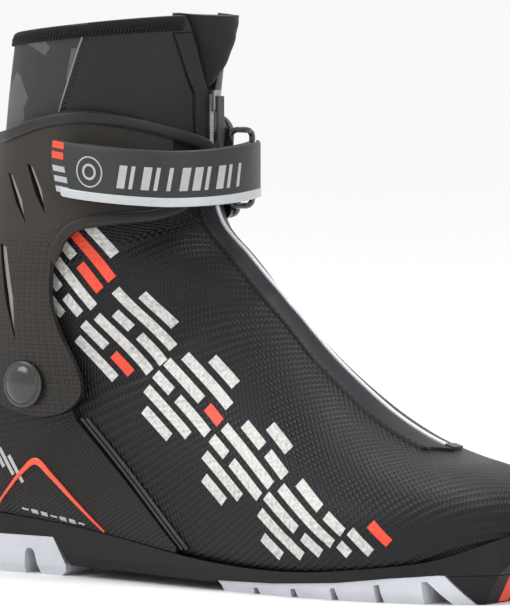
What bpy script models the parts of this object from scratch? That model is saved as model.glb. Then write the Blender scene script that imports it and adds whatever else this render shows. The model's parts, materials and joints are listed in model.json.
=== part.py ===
"""Skate boot for cross country skiing, right foot.

Toe towards +X, outer side of the foot towards -Y, up +Z, in metres. The boot stands on z = 0.
Every soft or shell-like layer follows one last surface, at its own distance from it.
"""
import math

import bmesh
import bpy
import numpy as np

MM = 0.001

# ---- driving dimensions -------------------------------------------------------------------
LENGTH = 293 * MM            # heel to toe of the upper
HEIGHT = 238 * MM            # ground to the top of the collar, at the front
WIDTH = 95 * MM              # upper across the ball of the foot
SOLE_HEIGHT = 8 * MM         # ground to the underside of the upper, under the ball
ORIGIN_X = 146.99 * MM       # heel of the upper to the middle of the boot's length
ORIGIN_Y = -2.07 * MM        # foot's centre line to the middle of the boot's width

GAP = 0.3 * MM               # between pieces that touch
SHELL = 1.3 * MM             # outer softshell fabric
PUFF = 0.8 * MM              # toe puff
TAPE = 0.7 * MM              # zip tape
LINER = 3.2 * MM             # padded lining
BOARD = 1.2 * MM             # lasting board
INSOLE = 2.8 * MM
COUNTER = 2.1 * MM           # moulded heel counter
CUFF = 2.6 * MM              # moulded ankle cuff
COUNTER_OUT = 2 * GAP + COUNTER  # counter's outer face, from the last
CUFF_RUN = 1.0 * MM          # running clearance between the cuff and the counter
RIM = 1.7 * MM               # outsole rim round the upper
HEEL_BLOCK = 16.5 * MM       # heel tread, ground to outsole
GROOVE_DEPTH = 5.0 * MM      # guide grooves, in the treads
TOE_TOP = 12.0 * MM          # ground to the outsole over the toe bar
GROOVE = 5.5 * MM            # guide groove's width
GROOVE_SPACING = 21.0 * MM   # between the middles of the two guide grooves

PIVOT_X, PIVOT_Z = 59.5, 82.0  # ankle pivot, in drawing millimetres
RIVET_HEAD = 10.0 * MM       # radius
RIVET_HEIGHT = 3.2 * MM
RIVET_SHANK = 2.6 * MM
BUSH = 4.8 * MM              # outer radius
WASHER = 6.4 * MM
WASHER_HEIGHT = 0.8 * MM

STRAP_WIDTH = 23.5 * MM
STRAP_THICKNESS = 1.6 * MM
TAPE_WIDTH = 3.9 * MM        # reflective tape on the strap's lower edge
PAD_THICKNESS = 0.9 * MM     # hook pad and loop pad
RING_WIRE = 1.3 * MM         # radius
RING_BAR = (126.0, 11.0)     # ring's inner bar, held by the webbing, in drawing millimetres
FOLD_BAR = (133.5, 16.0)     # ring's outer bar, where the strap folds back
ZIP_COIL = 1.0 * MM          # radius
ZIP_SLOT = 3.2               # half width of the zip's slot, in degrees round the last
GUARD = 14.0                 # width of the stitched guard beside the zip, in degrees
TOE_BAR = 2.0 * MM           # radius
TOE_BAR_LENGTH = 36 * MM
TOE_BAR_X, TOE_BAR_Z = 279.6, 5.6  # in drawing millimetres
TOE_BAR_Y = 1.5 * MM         # from the sole's middle line
BAR_POCKET = 25 * MM         # width of the pocket that bares the bar

# The last, as stations from the toe round the heel and up the shaft, drawn in millimetres for a
# boot of DRAWN size: front point (x, z), back point (x, z), outer side y, inner side y, ridge y,
# fullness of the front and of the back, and how far back the section is widest.
DRAWN = (293.0, 95.0, 238.0)
DRAWN_SOLE = 8.0
STATIONS = np.array([
    (292.8, 29.5, 292.8, 26.5, 2.5, 5.5, 4.0, 2.0, 2.0, 0.50),
    (291.0, 37.5, 290.5, 21.8, -10.0, 17.0, 5.0, 2.0, 2.5, 0.52),
    (286.5, 43.5, 286.0, 18.6, -21.5, 27.0, 6.0, 2.1, 3.2, 0.56),
    (278.0, 49.0, 276.0, 15.6, -32.0, 34.0, 7.0, 2.2, 4.2, 0.60),
    (264.0, 54.0, 260.0, 12.8, -41.5, 39.0, 8.5, 2.2, 5.4, 0.64),
    (248.0, 57.6, 239.0, 10.2, -48.0, 42.5, 9.5, 2.2, 6.4, 0.68),
    (230.0, 63.6, 214.0, 8.4, -50.5, 44.5, 9.5, 2.1, 7.0, 0.72),
    (212.0, 73.0, 190.0, 7.8, -49.5, 45.0, 9.0, 2.0, 7.0, 0.74),
    (195.0, 85.0, 162.0, 8.4, -46.0, 42.5, 8.5, 1.9, 6.4, 0.73),
    (182.0, 95.5, 132.0, 11.0, -42.0, 38.5, 8.0, 1.9, 5.8, 0.71),
    (171.0, 105.5, 101.0, 15.6, -39.0, 36.5, 8.0, 1.8, 5.2, 0.66),
    (164.5, 111.8, 68.0, 20.0, -37.5, 36.0, 8.0, 1.8, 4.6, 0.60),
    (159.5, 116.6, 35.0, 22.2, -37.0, 36.0, 7.5, 1.8, 4.0, 0.55),
    (155.2, 120.8, 9.5, 24.6, -37.0, 36.5, 7.5, 1.8, 3.4, 0.52),
    (150.9, 125.0, 1.0, 50.0, -38.5, 38.5, 7.0, 1.8, 2.8, 0.52),
    (145.9, 129.8, 6.0, 84.0, -40.5, 40.0, 7.0, 1.8, 2.3, 0.52),
    (138.7, 136.8, 10.5, 98.0, -41.0, 40.0, 7.0, 1.8, 2.2, 0.52),
    (124.5, 150.5, 15.0, 111.0, -40.5, 39.5, 7.0, 1.8, 2.2, 0.52),
    (120.0, 168.0, 19.0, 140.0, -39.0, 38.5, 6.5, 1.8, 2.2, 0.52),
    (119.6, 186.0, 23.0, 178.0, -38.0, 38.0, 6.0, 1.8, 2.2, 0.50),
    (120.0, 208.0, 26.5, 204.0, -38.5, 38.5, 6.0, 1.9, 2.2, 0.50),
    (124.0, 238.0, 31.0, 229.0, -40.0, 40.0, 5.0, 2.0, 2.2, 0.50),
])
ROWS = round(LENGTH / (13.3 * MM))      # of facets from the toe to the ankle, shared by what fits
FLEX_FROM, FLEX_TO, TOP = 15, 17, 21   # stations where the ankle flexes, and the collar's top
ZIP_END = 5.55                         # station of the zip's toe end
ZIP_TOP = 19.85                        # station of the zip's top, with the gusset showing above it
GUSSET_FROM = 19.96

scene_parts = bpy.data.collections.new("skate_boot")
cutters = bpy.data.collections.new("cutters")


def clear_scene():
    for old in list(bpy.data.objects):
        bpy.data.objects.remove(old)
    for group in (scene_parts, cutters):
        bpy.context.scene.collection.children.link(group)


# ---- the last surface ---------------------------------------------------------------------
def place(x, y, z):
    """Drawing millimetres to metres in the boot's frame; z is stretched above the sole only."""
    drawn_sole = DRAWN_SOLE * MM
    rise = (HEIGHT - SOLE_HEIGHT) / (DRAWN[2] * MM - drawn_sole)
    height = np.where(z * MM > drawn_sole, SOLE_HEIGHT + (z * MM - drawn_sole) * rise,
                      z * MM * SOLE_HEIGHT / drawn_sole)
    return np.stack([x * LENGTH / DRAWN[0] - ORIGIN_X * LENGTH / (DRAWN[0] * MM),
                     y * WIDTH / DRAWN[1] - ORIGIN_Y * WIDTH / (DRAWN[1] * MM), height], -1)


def station(s):
    """The last's station values at s, on a smooth curve through the drawn ones."""
    last = len(STATIONS) - 1
    s = np.clip(s, 0.0, last)
    i = np.minimum(s.astype(int), last - 1)
    f = (s - i)[..., None]
    p0, p1, p2, p3 = (STATIONS[np.clip(i + k, 0, last)] for k in (-1, 0, 1, 2))
    return 0.5 * (2 * p1 + (p2 - p0) * f + (2 * p0 - 5 * p1 + 4 * p2 - p3) * f ** 2
                  + (3 * p1 - p0 - 3 * p2 + p3) * f ** 3)


def on_last(s, a):
    """Point of the last at station s and angle a: 0 the ridge, 90 the outer side, 180 the back."""
    s, a = np.broadcast_arrays(np.asarray(s, float), np.asarray(a, float))
    fx, fz, bx, bz, outer, inner, ridge, front_full, back_full, wide = np.moveaxis(station(s), -1, 0)
    c, d = np.cos(np.radians(a)), np.sin(np.radians(a))
    front = c >= 0
    power = 2.0 / np.where(front, front_full, back_full)
    along = np.abs(c) ** power
    across = np.abs(d) ** power
    t = np.where(front, wide * (1 - along), wide + (1 - wide) * along)
    middle = np.where(front, ridge, 0.5 * (outer + inner))
    side = np.where(d >= 0, outer, inner)
    return place(fx + (bx - fx) * t, middle + (side - middle) * across, fz + (bz - fz) * t)


def skin(s, a, offset=0.0):
    """Point at a distance outside the last."""
    ds, da = 0.02, 0.6
    along = on_last(s + ds, a) - on_last(s - ds, a)
    round_it = on_last(s, a + da) - on_last(s, a - da)
    normal = np.cross(along, round_it)
    normal /= np.maximum(np.linalg.norm(normal, axis=-1, keepdims=True), 1e-12)
    return on_last(s, a) + normal * np.asarray(offset)[..., None]


def locate(x, z, inner_side=False):
    """Station and angle of the last's side point seen at drawing place x, z."""
    turn = -1 if inner_side else 1
    want = place(np.asarray(float(x)), np.asarray(0.0), np.asarray(float(z)))[[0, 2]]
    s, a = np.meshgrid(np.linspace(0, TOP, 127), turn * np.linspace(4, 176, 87), indexing="ij")
    found = on_last(s, a)[..., [0, 2]]
    best = np.argmin(((found - want) ** 2).sum(-1))
    s, a = s.flat[best], a.flat[best]
    for _ in range(8):
        here = on_last(s, a)[[0, 2]]
        slope = np.stack([(on_last(s + 0.01, a)[[0, 2]] - here) / 0.01,
                          (on_last(s, a + 0.2)[[0, 2]] - here) / 0.2], -1)
        step = np.linalg.lstsq(slope, want - here, rcond=None)[0]
        s = np.clip(s + np.clip(step[0], -0.3, 0.3), 0, TOP)
        a = turn * np.clip(turn * a + turn * np.clip(step[1], -6, 6), 1, 179)
    return float(s), float(a)


def row_at(k):
    """Station of the foot's mesh row k: layers that lie close together share their rows."""
    return 0.2 + k * (FLEX_FROM - 0.2) / ROWS


# ---- making solids ------------------------------------------------------------------------
def finish(obj, colour, roughness, metallic=0.0, group=scene_parts):
    mat = bpy.data.materials.new(obj.name)
    mat.use_nodes = True
    shader = mat.node_tree.nodes["Principled BSDF"]
    shader.inputs["Base Color"].default_value = (*colour, 1)
    shader.inputs["Roughness"].default_value = roughness
    shader.inputs["Metallic"].default_value = metallic
    obj.data.materials.append(mat)
    group.objects.link(obj)
    return obj


def hide(obj):
    obj.hide_render = True
    obj.display_type = 'WIRE'
    cutters.objects.link(obj)
    return obj


def solid(name, verts, faces, smooth=True):
    mesh = bpy.data.meshes.new(name)
    mesh.from_pydata([tuple(v) for v in verts], [], faces)
    mesh.validate()
    if smooth:
        mesh.shade_smooth()
        mesh.set_sharp_from_angle(angle=math.radians(35))
    return bpy.data.objects.new(name, mesh)


def value(item, *where):
    return item(*where) if callable(item) else item


def shell(name, s_span, a_span, inner, outer, steps, closed=False, capped=False):
    """Closed layer of the last, between two distances from it.

    s_span and a_span give its stations and angles, and an angle may be a function of the station.
    inner and outer may be functions of station and angle.
    closed runs it all the way round, and capped shuts its toe end.
    """
    rows, cols = steps
    s = np.linspace(*s_span, rows + 1)
    v = np.linspace(0, 1, cols + 1)[:cols if closed else None]
    a = np.stack([value(a_span[0], k) + (value(a_span[1], k) - value(a_span[0], k)) * v for k in s])
    s = np.repeat(s[:, None], len(v), 1)
    outside = skin(s, a, np.broadcast_to(value(outer, s, a), s.shape))
    inside = skin(s, a, np.broadcast_to(value(inner, s, a), s.shape))
    verts = np.concatenate([outside.reshape(-1, 3), inside.reshape(-1, 3)])
    count = len(v)
    half = (rows + 1) * count

    def at(i, j):
        return i * count + j % count

    faces = []
    for i in range(rows):
        for j in range(count if closed else count - 1):
            quad = [at(i, j), at(i + 1, j), at(i + 1, j + 1), at(i, j + 1)]
            faces += [quad, [half + k for k in reversed(quad)]]
        if not closed:
            faces.append([at(i, 0), half + at(i, 0), half + at(i + 1, 0), at(i + 1, 0)])
            end = count - 1
            faces.append([at(i, end), at(i + 1, end), half + at(i + 1, end), half + at(i, end)])
    for j in range(count if closed else count - 1):
        if not capped:
            faces.append([at(0, j), at(0, j + 1), half + at(0, j + 1), half + at(0, j)])
        faces.append([at(rows, j), half + at(rows, j), half + at(rows, j + 1), at(rows, j + 1)])
    if capped:
        faces += [list(range(count)), [half + k for k in reversed(range(count))]]
        if not closed:
            faces.append([0, count - 1, half + count - 1, half])
    return solid(name, verts, faces)


def filled(name, s_span, offset, steps):
    """Solid bounded by the last at a distance, between two stations."""
    rows, cols = steps
    s, a = np.meshgrid(np.linspace(*s_span, rows + 1), np.linspace(0, 360, cols + 1)[:-1], indexing="ij")
    faces = [list(range(cols)), [rows * cols + j for j in reversed(range(cols))]]
    for i in range(rows):
        for j in range(cols):
            n = (j + 1) % cols
            faces.append([i * cols + j, (i + 1) * cols + j, (i + 1) * cols + n, i * cols + n])
    return solid(name, skin(s, a, np.full(s.shape, offset)).reshape(-1, 3), faces)


def smooth_outline(points, per_span=4, closed=True):
    """Points on a smooth curve through the given ones."""
    points = np.array(points, float)
    count = len(points)
    spans = count if closed else count - 1
    out = []
    for i in range(spans):
        picks = [(i + k) % count if closed else min(max(i + k, 0), count - 1) for k in (-1, 0, 1, 2)]
        p0, p1, p2, p3 = (points[k] for k in picks)
        for f in np.arange(per_span) / per_span:
            out.append(0.5 * (2 * p1 + (p2 - p0) * f + (2 * p0 - 5 * p1 + 4 * p2 - p3) * f ** 2
                              + (3 * p1 - p0 - 3 * p2 + p3) * f ** 3))
    if not closed:
        out.append(points[-1])
    return np.array(out)


def sole_middle():
    """The y of the sole's middle line, in metres."""
    return float(place(np.asarray(0.0), np.asarray(SOLE_MIDDLE), np.asarray(0.0))[1])


def prism(name, outline, y_span=(-80 * MM, 80 * MM)):
    """Solid of a side-view outline, given in drawing millimetres, across the boot.

    y_span is in metres, from the sole's middle line.
    """
    middle, half = sum(y_span) / 2, (y_span[1] - y_span[0]) / 2
    curve = bpy.data.curves.new(name, 'CURVE')
    curve.dimensions = '2D'
    curve.fill_mode = 'BOTH'
    curve.extrude = half
    spline = curve.splines.new('POLY')
    spline.points.add(len(outline) - 1)
    for point, (x, z) in zip(spline.points, outline):
        px, _, pz = place(np.asarray(float(x)), np.asarray(0.0), np.asarray(float(z)))
        point.co = (px, pz, 0, 1)
    spline.use_cyclic_u = True
    drawn = bpy.data.objects.new(name, curve)
    drawn.rotation_euler = (math.pi / 2, 0, 0)
    drawn.location = (0, sole_middle() + middle, 0)
    cutters.objects.link(drawn)
    return meshed(drawn)


def meshed(drawn):
    """The mesh object that a curve object draws, with its caps welded; the curve is removed."""
    bpy.context.view_layer.update()
    ready = drawn.evaluated_get(bpy.context.evaluated_depsgraph_get())
    mesh = bpy.data.meshes.new_from_object(ready)
    mesh.transform(drawn.matrix_world)
    work = bmesh.new()
    work.from_mesh(mesh)
    bmesh.ops.remove_doubles(work, verts=work.verts, dist=1e-6)
    bmesh.ops.recalc_face_normals(work, faces=work.faces)
    work.to_mesh(mesh)
    work.free()
    name = drawn.name
    bpy.data.objects.remove(drawn)
    return bpy.data.objects.new(name, mesh)


def boolean(obj, operation, *others):
    for other in others:
        if not other.users_collection:
            hide(other)
        cut = obj.modifiers.new(other.name, 'BOOLEAN')
        cut.operation = operation
        cut.solver = 'EXACT'
        cut.object = other
    return obj


def turned(name, profile, centre, side, steps=16):
    """Solid turned about Y from (radius, depth) points; depth is measured outwards from centre."""
    mesh = bpy.data.meshes.new(name)
    heights = [(radius, 0.0, depth) for radius, depth in profile]
    edges = [(i, i + 1) for i in range(len(profile) - 1)]
    if profile[0][0] > 0:
        edges.append((len(profile) - 1, 0))
    mesh.from_pydata(heights, edges, [])
    obj = bpy.data.objects.new(name, mesh)
    screw = obj.modifiers.new("turn", 'SCREW')
    screw.axis = 'Z'
    screw.steps = screw.render_steps = steps
    screw.use_merge_vertices = True
    screw.merge_threshold = 0.00001
    obj.rotation_euler = (side * math.pi / 2, 0, 0)
    obj.location = centre
    return obj


def tube(name, path, radius, cyclic=False, sides=3):
    """Round wire or cord through points in metres."""
    curve = bpy.data.curves.new(name, 'CURVE')
    curve.dimensions = '3D'
    curve.bevel_depth = radius
    curve.bevel_resolution = sides - 1
    curve.use_fill_caps = not cyclic
    spline = curve.splines.new('POLY')
    spline.points.add(len(path) - 1)
    for point, where in zip(spline.points, path):
        point.co = (*where, 1)
    spline.use_cyclic_u = cyclic
    return bpy.data.objects.new(name, curve)


def ribbon(name, path, height, thickness, outwards=0.0):
    """Upright band along a path of points in metres, its outer face to the path's right."""
    path = np.array(path)
    along = np.gradient(path, axis=0)
    right = np.stack([along[:, 1], -along[:, 0], np.zeros(len(path))], -1)
    right /= np.linalg.norm(right, axis=1)[:, None]
    up = np.array([0, 0, height / 2])
    verts = []
    for point, out in zip(path, right):
        near, far = point + out * outwards, point + out * (outwards + thickness)
        verts += [near - up, far - up, far + up, near + up]
    faces = [[3, 2, 1, 0], [len(verts) - 4 + k for k in range(4)]]
    for i in range(0, len(verts) - 4, 4):
        for k in range(4):
            n = (k + 1) % 4
            faces.append([i + k, i + n, i + 4 + n, i + 4 + k])
    obj = solid(name, verts, faces)
    work = bmesh.new()
    work.from_mesh(obj.data)
    bmesh.ops.recalc_face_normals(work, faces=work.faces)
    work.to_mesh(obj.data)
    work.free()
    return obj


# ---- sole ---------------------------------------------------------------------------------
# height of the outsole's rim along the boot, in drawing millimetres
RIM_LINE = smooth_outline([(-12, 33.0), (3, 31.0), (16, 27.6), (36, 25.2), (74, 22.0), (108, 17.8), (143, 13.2),
                           (168, 11.2), (190, 10.6), (211, 11.2), (232, 13.2), (252, 15.6),
                           (265, 18.0), (276, 21.8), (286, 26.5), (293, 29.5), (303, 32.0)], 3, closed=False)
# underside of the outsole: over the heel block, the arch, the forefoot tread and the toe
ARCH_LINE = [(73.5, 5.0), (157.0, 3.6)]
TREAD_LINE = [(159.0, 4.4), (190.0, 5.2), (223.0, 7.4), (246.0, 10.2), (267.0, 12.2)]
TOE_SLOPE = [(279.8, -1.0), (281.0, 1.5), (286.5, 12.0), (292.5, 22.0), (297.5, 30.0), (303.0, 33.0)]
DIVISION = 69.0       # back edge of the arch: the heel block ends here, sloping back as it rises
SOLE_AXIS = ((34.0, 0.0), (262.0, 5.0))     # ends of the sole's centre line


def sole_outline(grow):
    """Plan of the sole: the last's widest outline under the rim, grown by a distance."""
    turns = np.concatenate([np.geomspace(1e-6, 4, 50), np.linspace(5, 140, 110)])
    turns = np.concatenate([180 - turns, 180 + turns])
    s, a = np.meshgrid(np.linspace(0, 15.5, 260), turns, indexing="ij")
    points = on_last(s, a).reshape(-1, 3)
    rim = np.interp(points[:, 0], place(RIM_LINE[:, 0], 0 * RIM_LINE[:, 0], RIM_LINE[:, 1])[:, 0],
                    place(RIM_LINE[:, 0], 0 * RIM_LINE[:, 0], RIM_LINE[:, 1])[:, 2])
    points = points[points[:, 2] < rim + 1 * MM][:, :2]
    ends = [place(*(np.asarray(v) for v in (x, y, 0.0)))[:2] for x, y in SOLE_AXIS]
    axis = ends[1] - ends[0]
    rays = [(ends[1], math.radians(t)) for t in np.linspace(-90, 90, 15)]
    rays += [(ends[1] - axis * f, math.pi / 2) for f in np.linspace(0, 1, 18)[1:-1]]
    rays += [(ends[0], math.radians(t)) for t in np.linspace(90, 270, 15)]
    rays += [(ends[0] + axis * f, -math.pi / 2) for f in np.linspace(0, 1, 18)[1:-1]]
    reaches = []
    for start, angle in rays:
        way = np.array([math.cos(angle), math.sin(angle)])
        rel = points - start
        near = np.abs(rel[:, 0] * way[1] - rel[:, 1] * way[0]) < 1.6 * MM
        reaches.append((rel[near] @ way).max())
    reaches = np.array(reaches)
    for _ in range(3):
        reaches = (np.roll(reaches, 1) + 2 * reaches + np.roll(reaches, -1)) / 4
    return [start + np.array([math.cos(t), math.sin(t)]) * (reach + grow)
            for (start, t), reach in zip(rays, reaches)]


def plan_block(name, levels):
    """Solid with the sole's plan, grown by a distance at each level: (height, grow) pairs."""
    loops = [[(x, y, z) for x, y in sole_outline(grow)] for z, grow in levels]
    count = len(loops[0])
    verts = [v for loop in loops for v in loop]
    faces = [list(reversed(range(count))), [len(verts) - count + k for k in range(count)]]
    for level in range(len(loops) - 1):
        for k in range(count):
            n = (k + 1) % count
            low, high = level * count, (level + 1) * count
            faces.append([low + k, low + n, high + n, high + k])
    return solid(name, verts, faces, smooth=False)


def drawn_z(z):
    """Height in metres, near the ground, as drawing millimetres."""
    return z / SOLE_HEIGHT * DRAWN_SOLE if z <= SOLE_HEIGHT else \
        DRAWN_SOLE + (z - SOLE_HEIGHT) * (DRAWN[2] - DRAWN_SOLE) / (HEIGHT - SOLE_HEIGHT)


def make_sole():
    last = hide(filled("last_solid", (row_at(0), row_at(ROWS)), 2 * GAP, (ROWS, 28)))
    top = hide(prism("above_rim", list(RIM_LINE) + [(303, 90), (-12, 90)]))
    heel = drawn_z(HEEL_BLOCK + GAP)
    lift = GAP / MM
    under = hide(prism("under_outsole", [
        (-20, -5), (-20, heel), (DIVISION - 5, heel)] + ARCH_LINE
        + [(x, z + lift) for x, z in TREAD_LINE] + [(268.0, drawn_z(TOE_TOP + GAP)), (310, drawn_z(TOE_TOP + GAP)),
                                                    (310, -5)]))
    front = hide(prism("toe_front", TOE_SLOPE + [(330, 33), (330, -1)]))
    outsole = plan_block("outsole", [(2 * MM, 0.2 * MM), (9 * MM, RIM + 0.8 * MM),
                                     (22 * MM, RIM + 0.3 * MM), (44 * MM, RIM - 0.6 * MM)])
    boolean(outsole, 'DIFFERENCE', last, top, under, front)
    finish(outsole, (0.012, 0.012, 0.013), 0.6)

    grooves = []
    for side in (-1, 1):
        y = side * GROOVE_SPACING / 2
        depth = drawn_z(GROOVE_DEPTH)
        grooves.append(hide(prism(f"groove_{side}", [(-20, -5), (-20, depth), (90, depth), (90, -5)],
                                  (y - GROOVE / 2, y + GROOVE / 2))))

    # heel block: one white moulding with a notch across it
    block = plan_block("heel_tread", [(0, -1.6 * MM), (4 * MM, 0.2 * MM), (HEEL_BLOCK, RIM)])
    top = drawn_z(HEEL_BLOCK)
    keep = hide(prism("heel_side", [
        (-20, 0), (45.5, 0), (47.0, 9.5), (48.2, 11.0), (50.6, 11.0), (52.0, 9.5), (54.2, 0),
        (66.0, 0.0), (69.0, 2.0), (69.6, 5.0), (DIVISION - 5.6, top), (-20, top)]))
    boolean(block, 'INTERSECT', keep)
    boolean(block, 'DIFFERENCE', *grooves)
    finish(block, (0.72, 0.73, 0.75), 0.45)

    # forefoot tread: lugs under a plate, in three rows beside and between the grooves
    lugs = lug_profile()
    near = (GROOVE_SPACING - GROOVE) / 2
    far = (GROOVE_SPACING + GROOVE) / 2
    rows = {"forefoot_tread_outer": (-80 * MM, -far),
            "forefoot_tread_middle": (-near, near),
            "forefoot_tread_inner": (far, 80 * MM)}
    for name, span in rows.items():
        row = plan_block(name, [(0, -2.4 * MM), (4 * MM, -0.4 * MM), (12.5 * MM, RIM + 0.4 * MM)])
        boolean(row, 'INTERSECT', hide(prism(name + "_side", lugs, span)))
        finish(row, (0.66, 0.67, 0.70), 0.5)


SOLE_MIDDLE = 1.5            # y of the sole's middle, in drawing millimetres
LUG_FROM, LUG_PITCH, LUGS = 160.5, 20.4, 5
LUG_GAP = 2.4
PLATE = 2.2                  # tread above the gaps between lugs
TOE_LUG = (270.5, 277.8)     # toe lug's foot


def lug_profile():
    """Side view of the tread: a thin plate with lugs, and a slanting lug at the toe."""
    xs, zs = zip(*TREAD_LINE)

    def top(x):
        return float(np.interp(x, xs, zs))

    points = []
    for k in range(LUGS):
        start = LUG_FROM + k * LUG_PITCH
        stop = start + LUG_PITCH - LUG_GAP
        points += [(start, top(start) - PLATE), (start + 0.6, 0.0), (stop - 0.4, 0.0), (stop, top(stop) - PLATE)]
    rest = LUG_FROM + LUGS * LUG_PITCH
    points += [(rest, top(rest) - PLATE), (TOE_LUG[0], 0.0), (TOE_LUG[1], 0.0), (xs[-1] + 2.4, zs[-1])]
    return points + [(x, z) for x, z in reversed(TREAD_LINE)]


def make_toe():
    top = drawn_z(TOE_TOP)
    back = TOE_LUG[1] + 0.6
    seat = (269.9 + 0.6, top)
    front = bpy.data.objects["toe_front"]
    pad = plan_block("toe_tread", [(0, -2.4 * MM), (5 * MM, -0.2 * MM), (TOE_TOP, RIM + 0.2 * MM)])
    boolean(pad, 'INTERSECT', hide(prism("toe_tread_side", [(back, 0.0), (310, 0.0), (310, top), seat])))
    boolean(pad, 'DIFFERENCE', front)
    finish(pad, (0.012, 0.012, 0.013), 0.6)

    half = TOE_BAR_LENGTH / 2 + 1.5 * MM
    slack = GAP / MM
    for grow, name in ((slack, "insert_bed"), (0.0, "toe_insert")):
        span = (TOE_BAR_Y - half - grow * MM, TOE_BAR_Y + half + grow * MM)
        low, high = (-1.0, top + 0.6) if grow else (0.6, top)
        outline = [(x - 1.3 * grow - 0.62 * z, z) for x, z in ((279.8, high), (279.8, low))]
        outline += [(310, low), (310, high)]
        made = prism(name, outline, span)
        if grow:
            boolean(pad, 'DIFFERENCE', hide(made))
    insert = made
    insert.data.shade_flat()
    boolean(insert, 'DIFFERENCE', front)
    finish(insert, (0.75, 0.05, 0.02), 0.45)

    bar_x, _, bar_z = place(np.asarray(TOE_BAR_X), np.asarray(0.0), np.asarray(TOE_BAR_Z))
    bar_y = sole_middle() + TOE_BAR_Y
    pocket = hide(prism("bar_pocket", [(276.9, -3), (283.4, -3), (283.4, 9.0), (276.9, 9.0)],
                        (TOE_BAR_Y - BAR_POCKET / 2, TOE_BAR_Y + BAR_POCKET / 2)))
    reach = TOE_BAR_LENGTH / 2
    bores = []
    for name, radius, length in (("toe_bar", TOE_BAR, reach), ("bar_bore", TOE_BAR + GAP, reach + GAP)):
        bpy.ops.mesh.primitive_cylinder_add(vertices=24, radius=radius, depth=2 * length,
                                            location=(bar_x, bar_y, bar_z), rotation=(math.pi / 2, 0, 0))
        made = bpy.context.object
        made.name = name
        made.users_collection[0].objects.unlink(made)
        bores.append(made)
    bar, bore = bores
    finish(bar, (0.55, 0.55, 0.56), 0.25, 1.0)
    boolean(insert, 'DIFFERENCE', pocket, hide(bore))


# ---- upper --------------------------------------------------------------------------------
def edge_angle(s):
    """Angle where the upper turns in under the board: under the foot, then closed at the heel."""
    return float(np.interp(s, [0, 11.0, 12.6, 13.2], [150, 152, 170, 179.3]))


def slot_from(s):
    """Half width of the front opening: the zip's slot, then the collar's notch over the gusset."""
    return float(np.interp(s, [0, ZIP_TOP, TOP], [ZIP_SLOT, ZIP_SLOT, 24.0]))


def lining_edge(s):
    """Angle where the shaft's lining ends at the front, beside the zip and then the gusset."""
    return float(np.interp(s, [FLEX_TO, 19.2, TOP], [9, 12, 36]))


def seam_angle(s):
    """Angle of the seam between the collar's sides and its back."""
    return float(np.interp(s, [FLEX_TO, 19.4, TOP], [104, 92, 76]))


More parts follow.
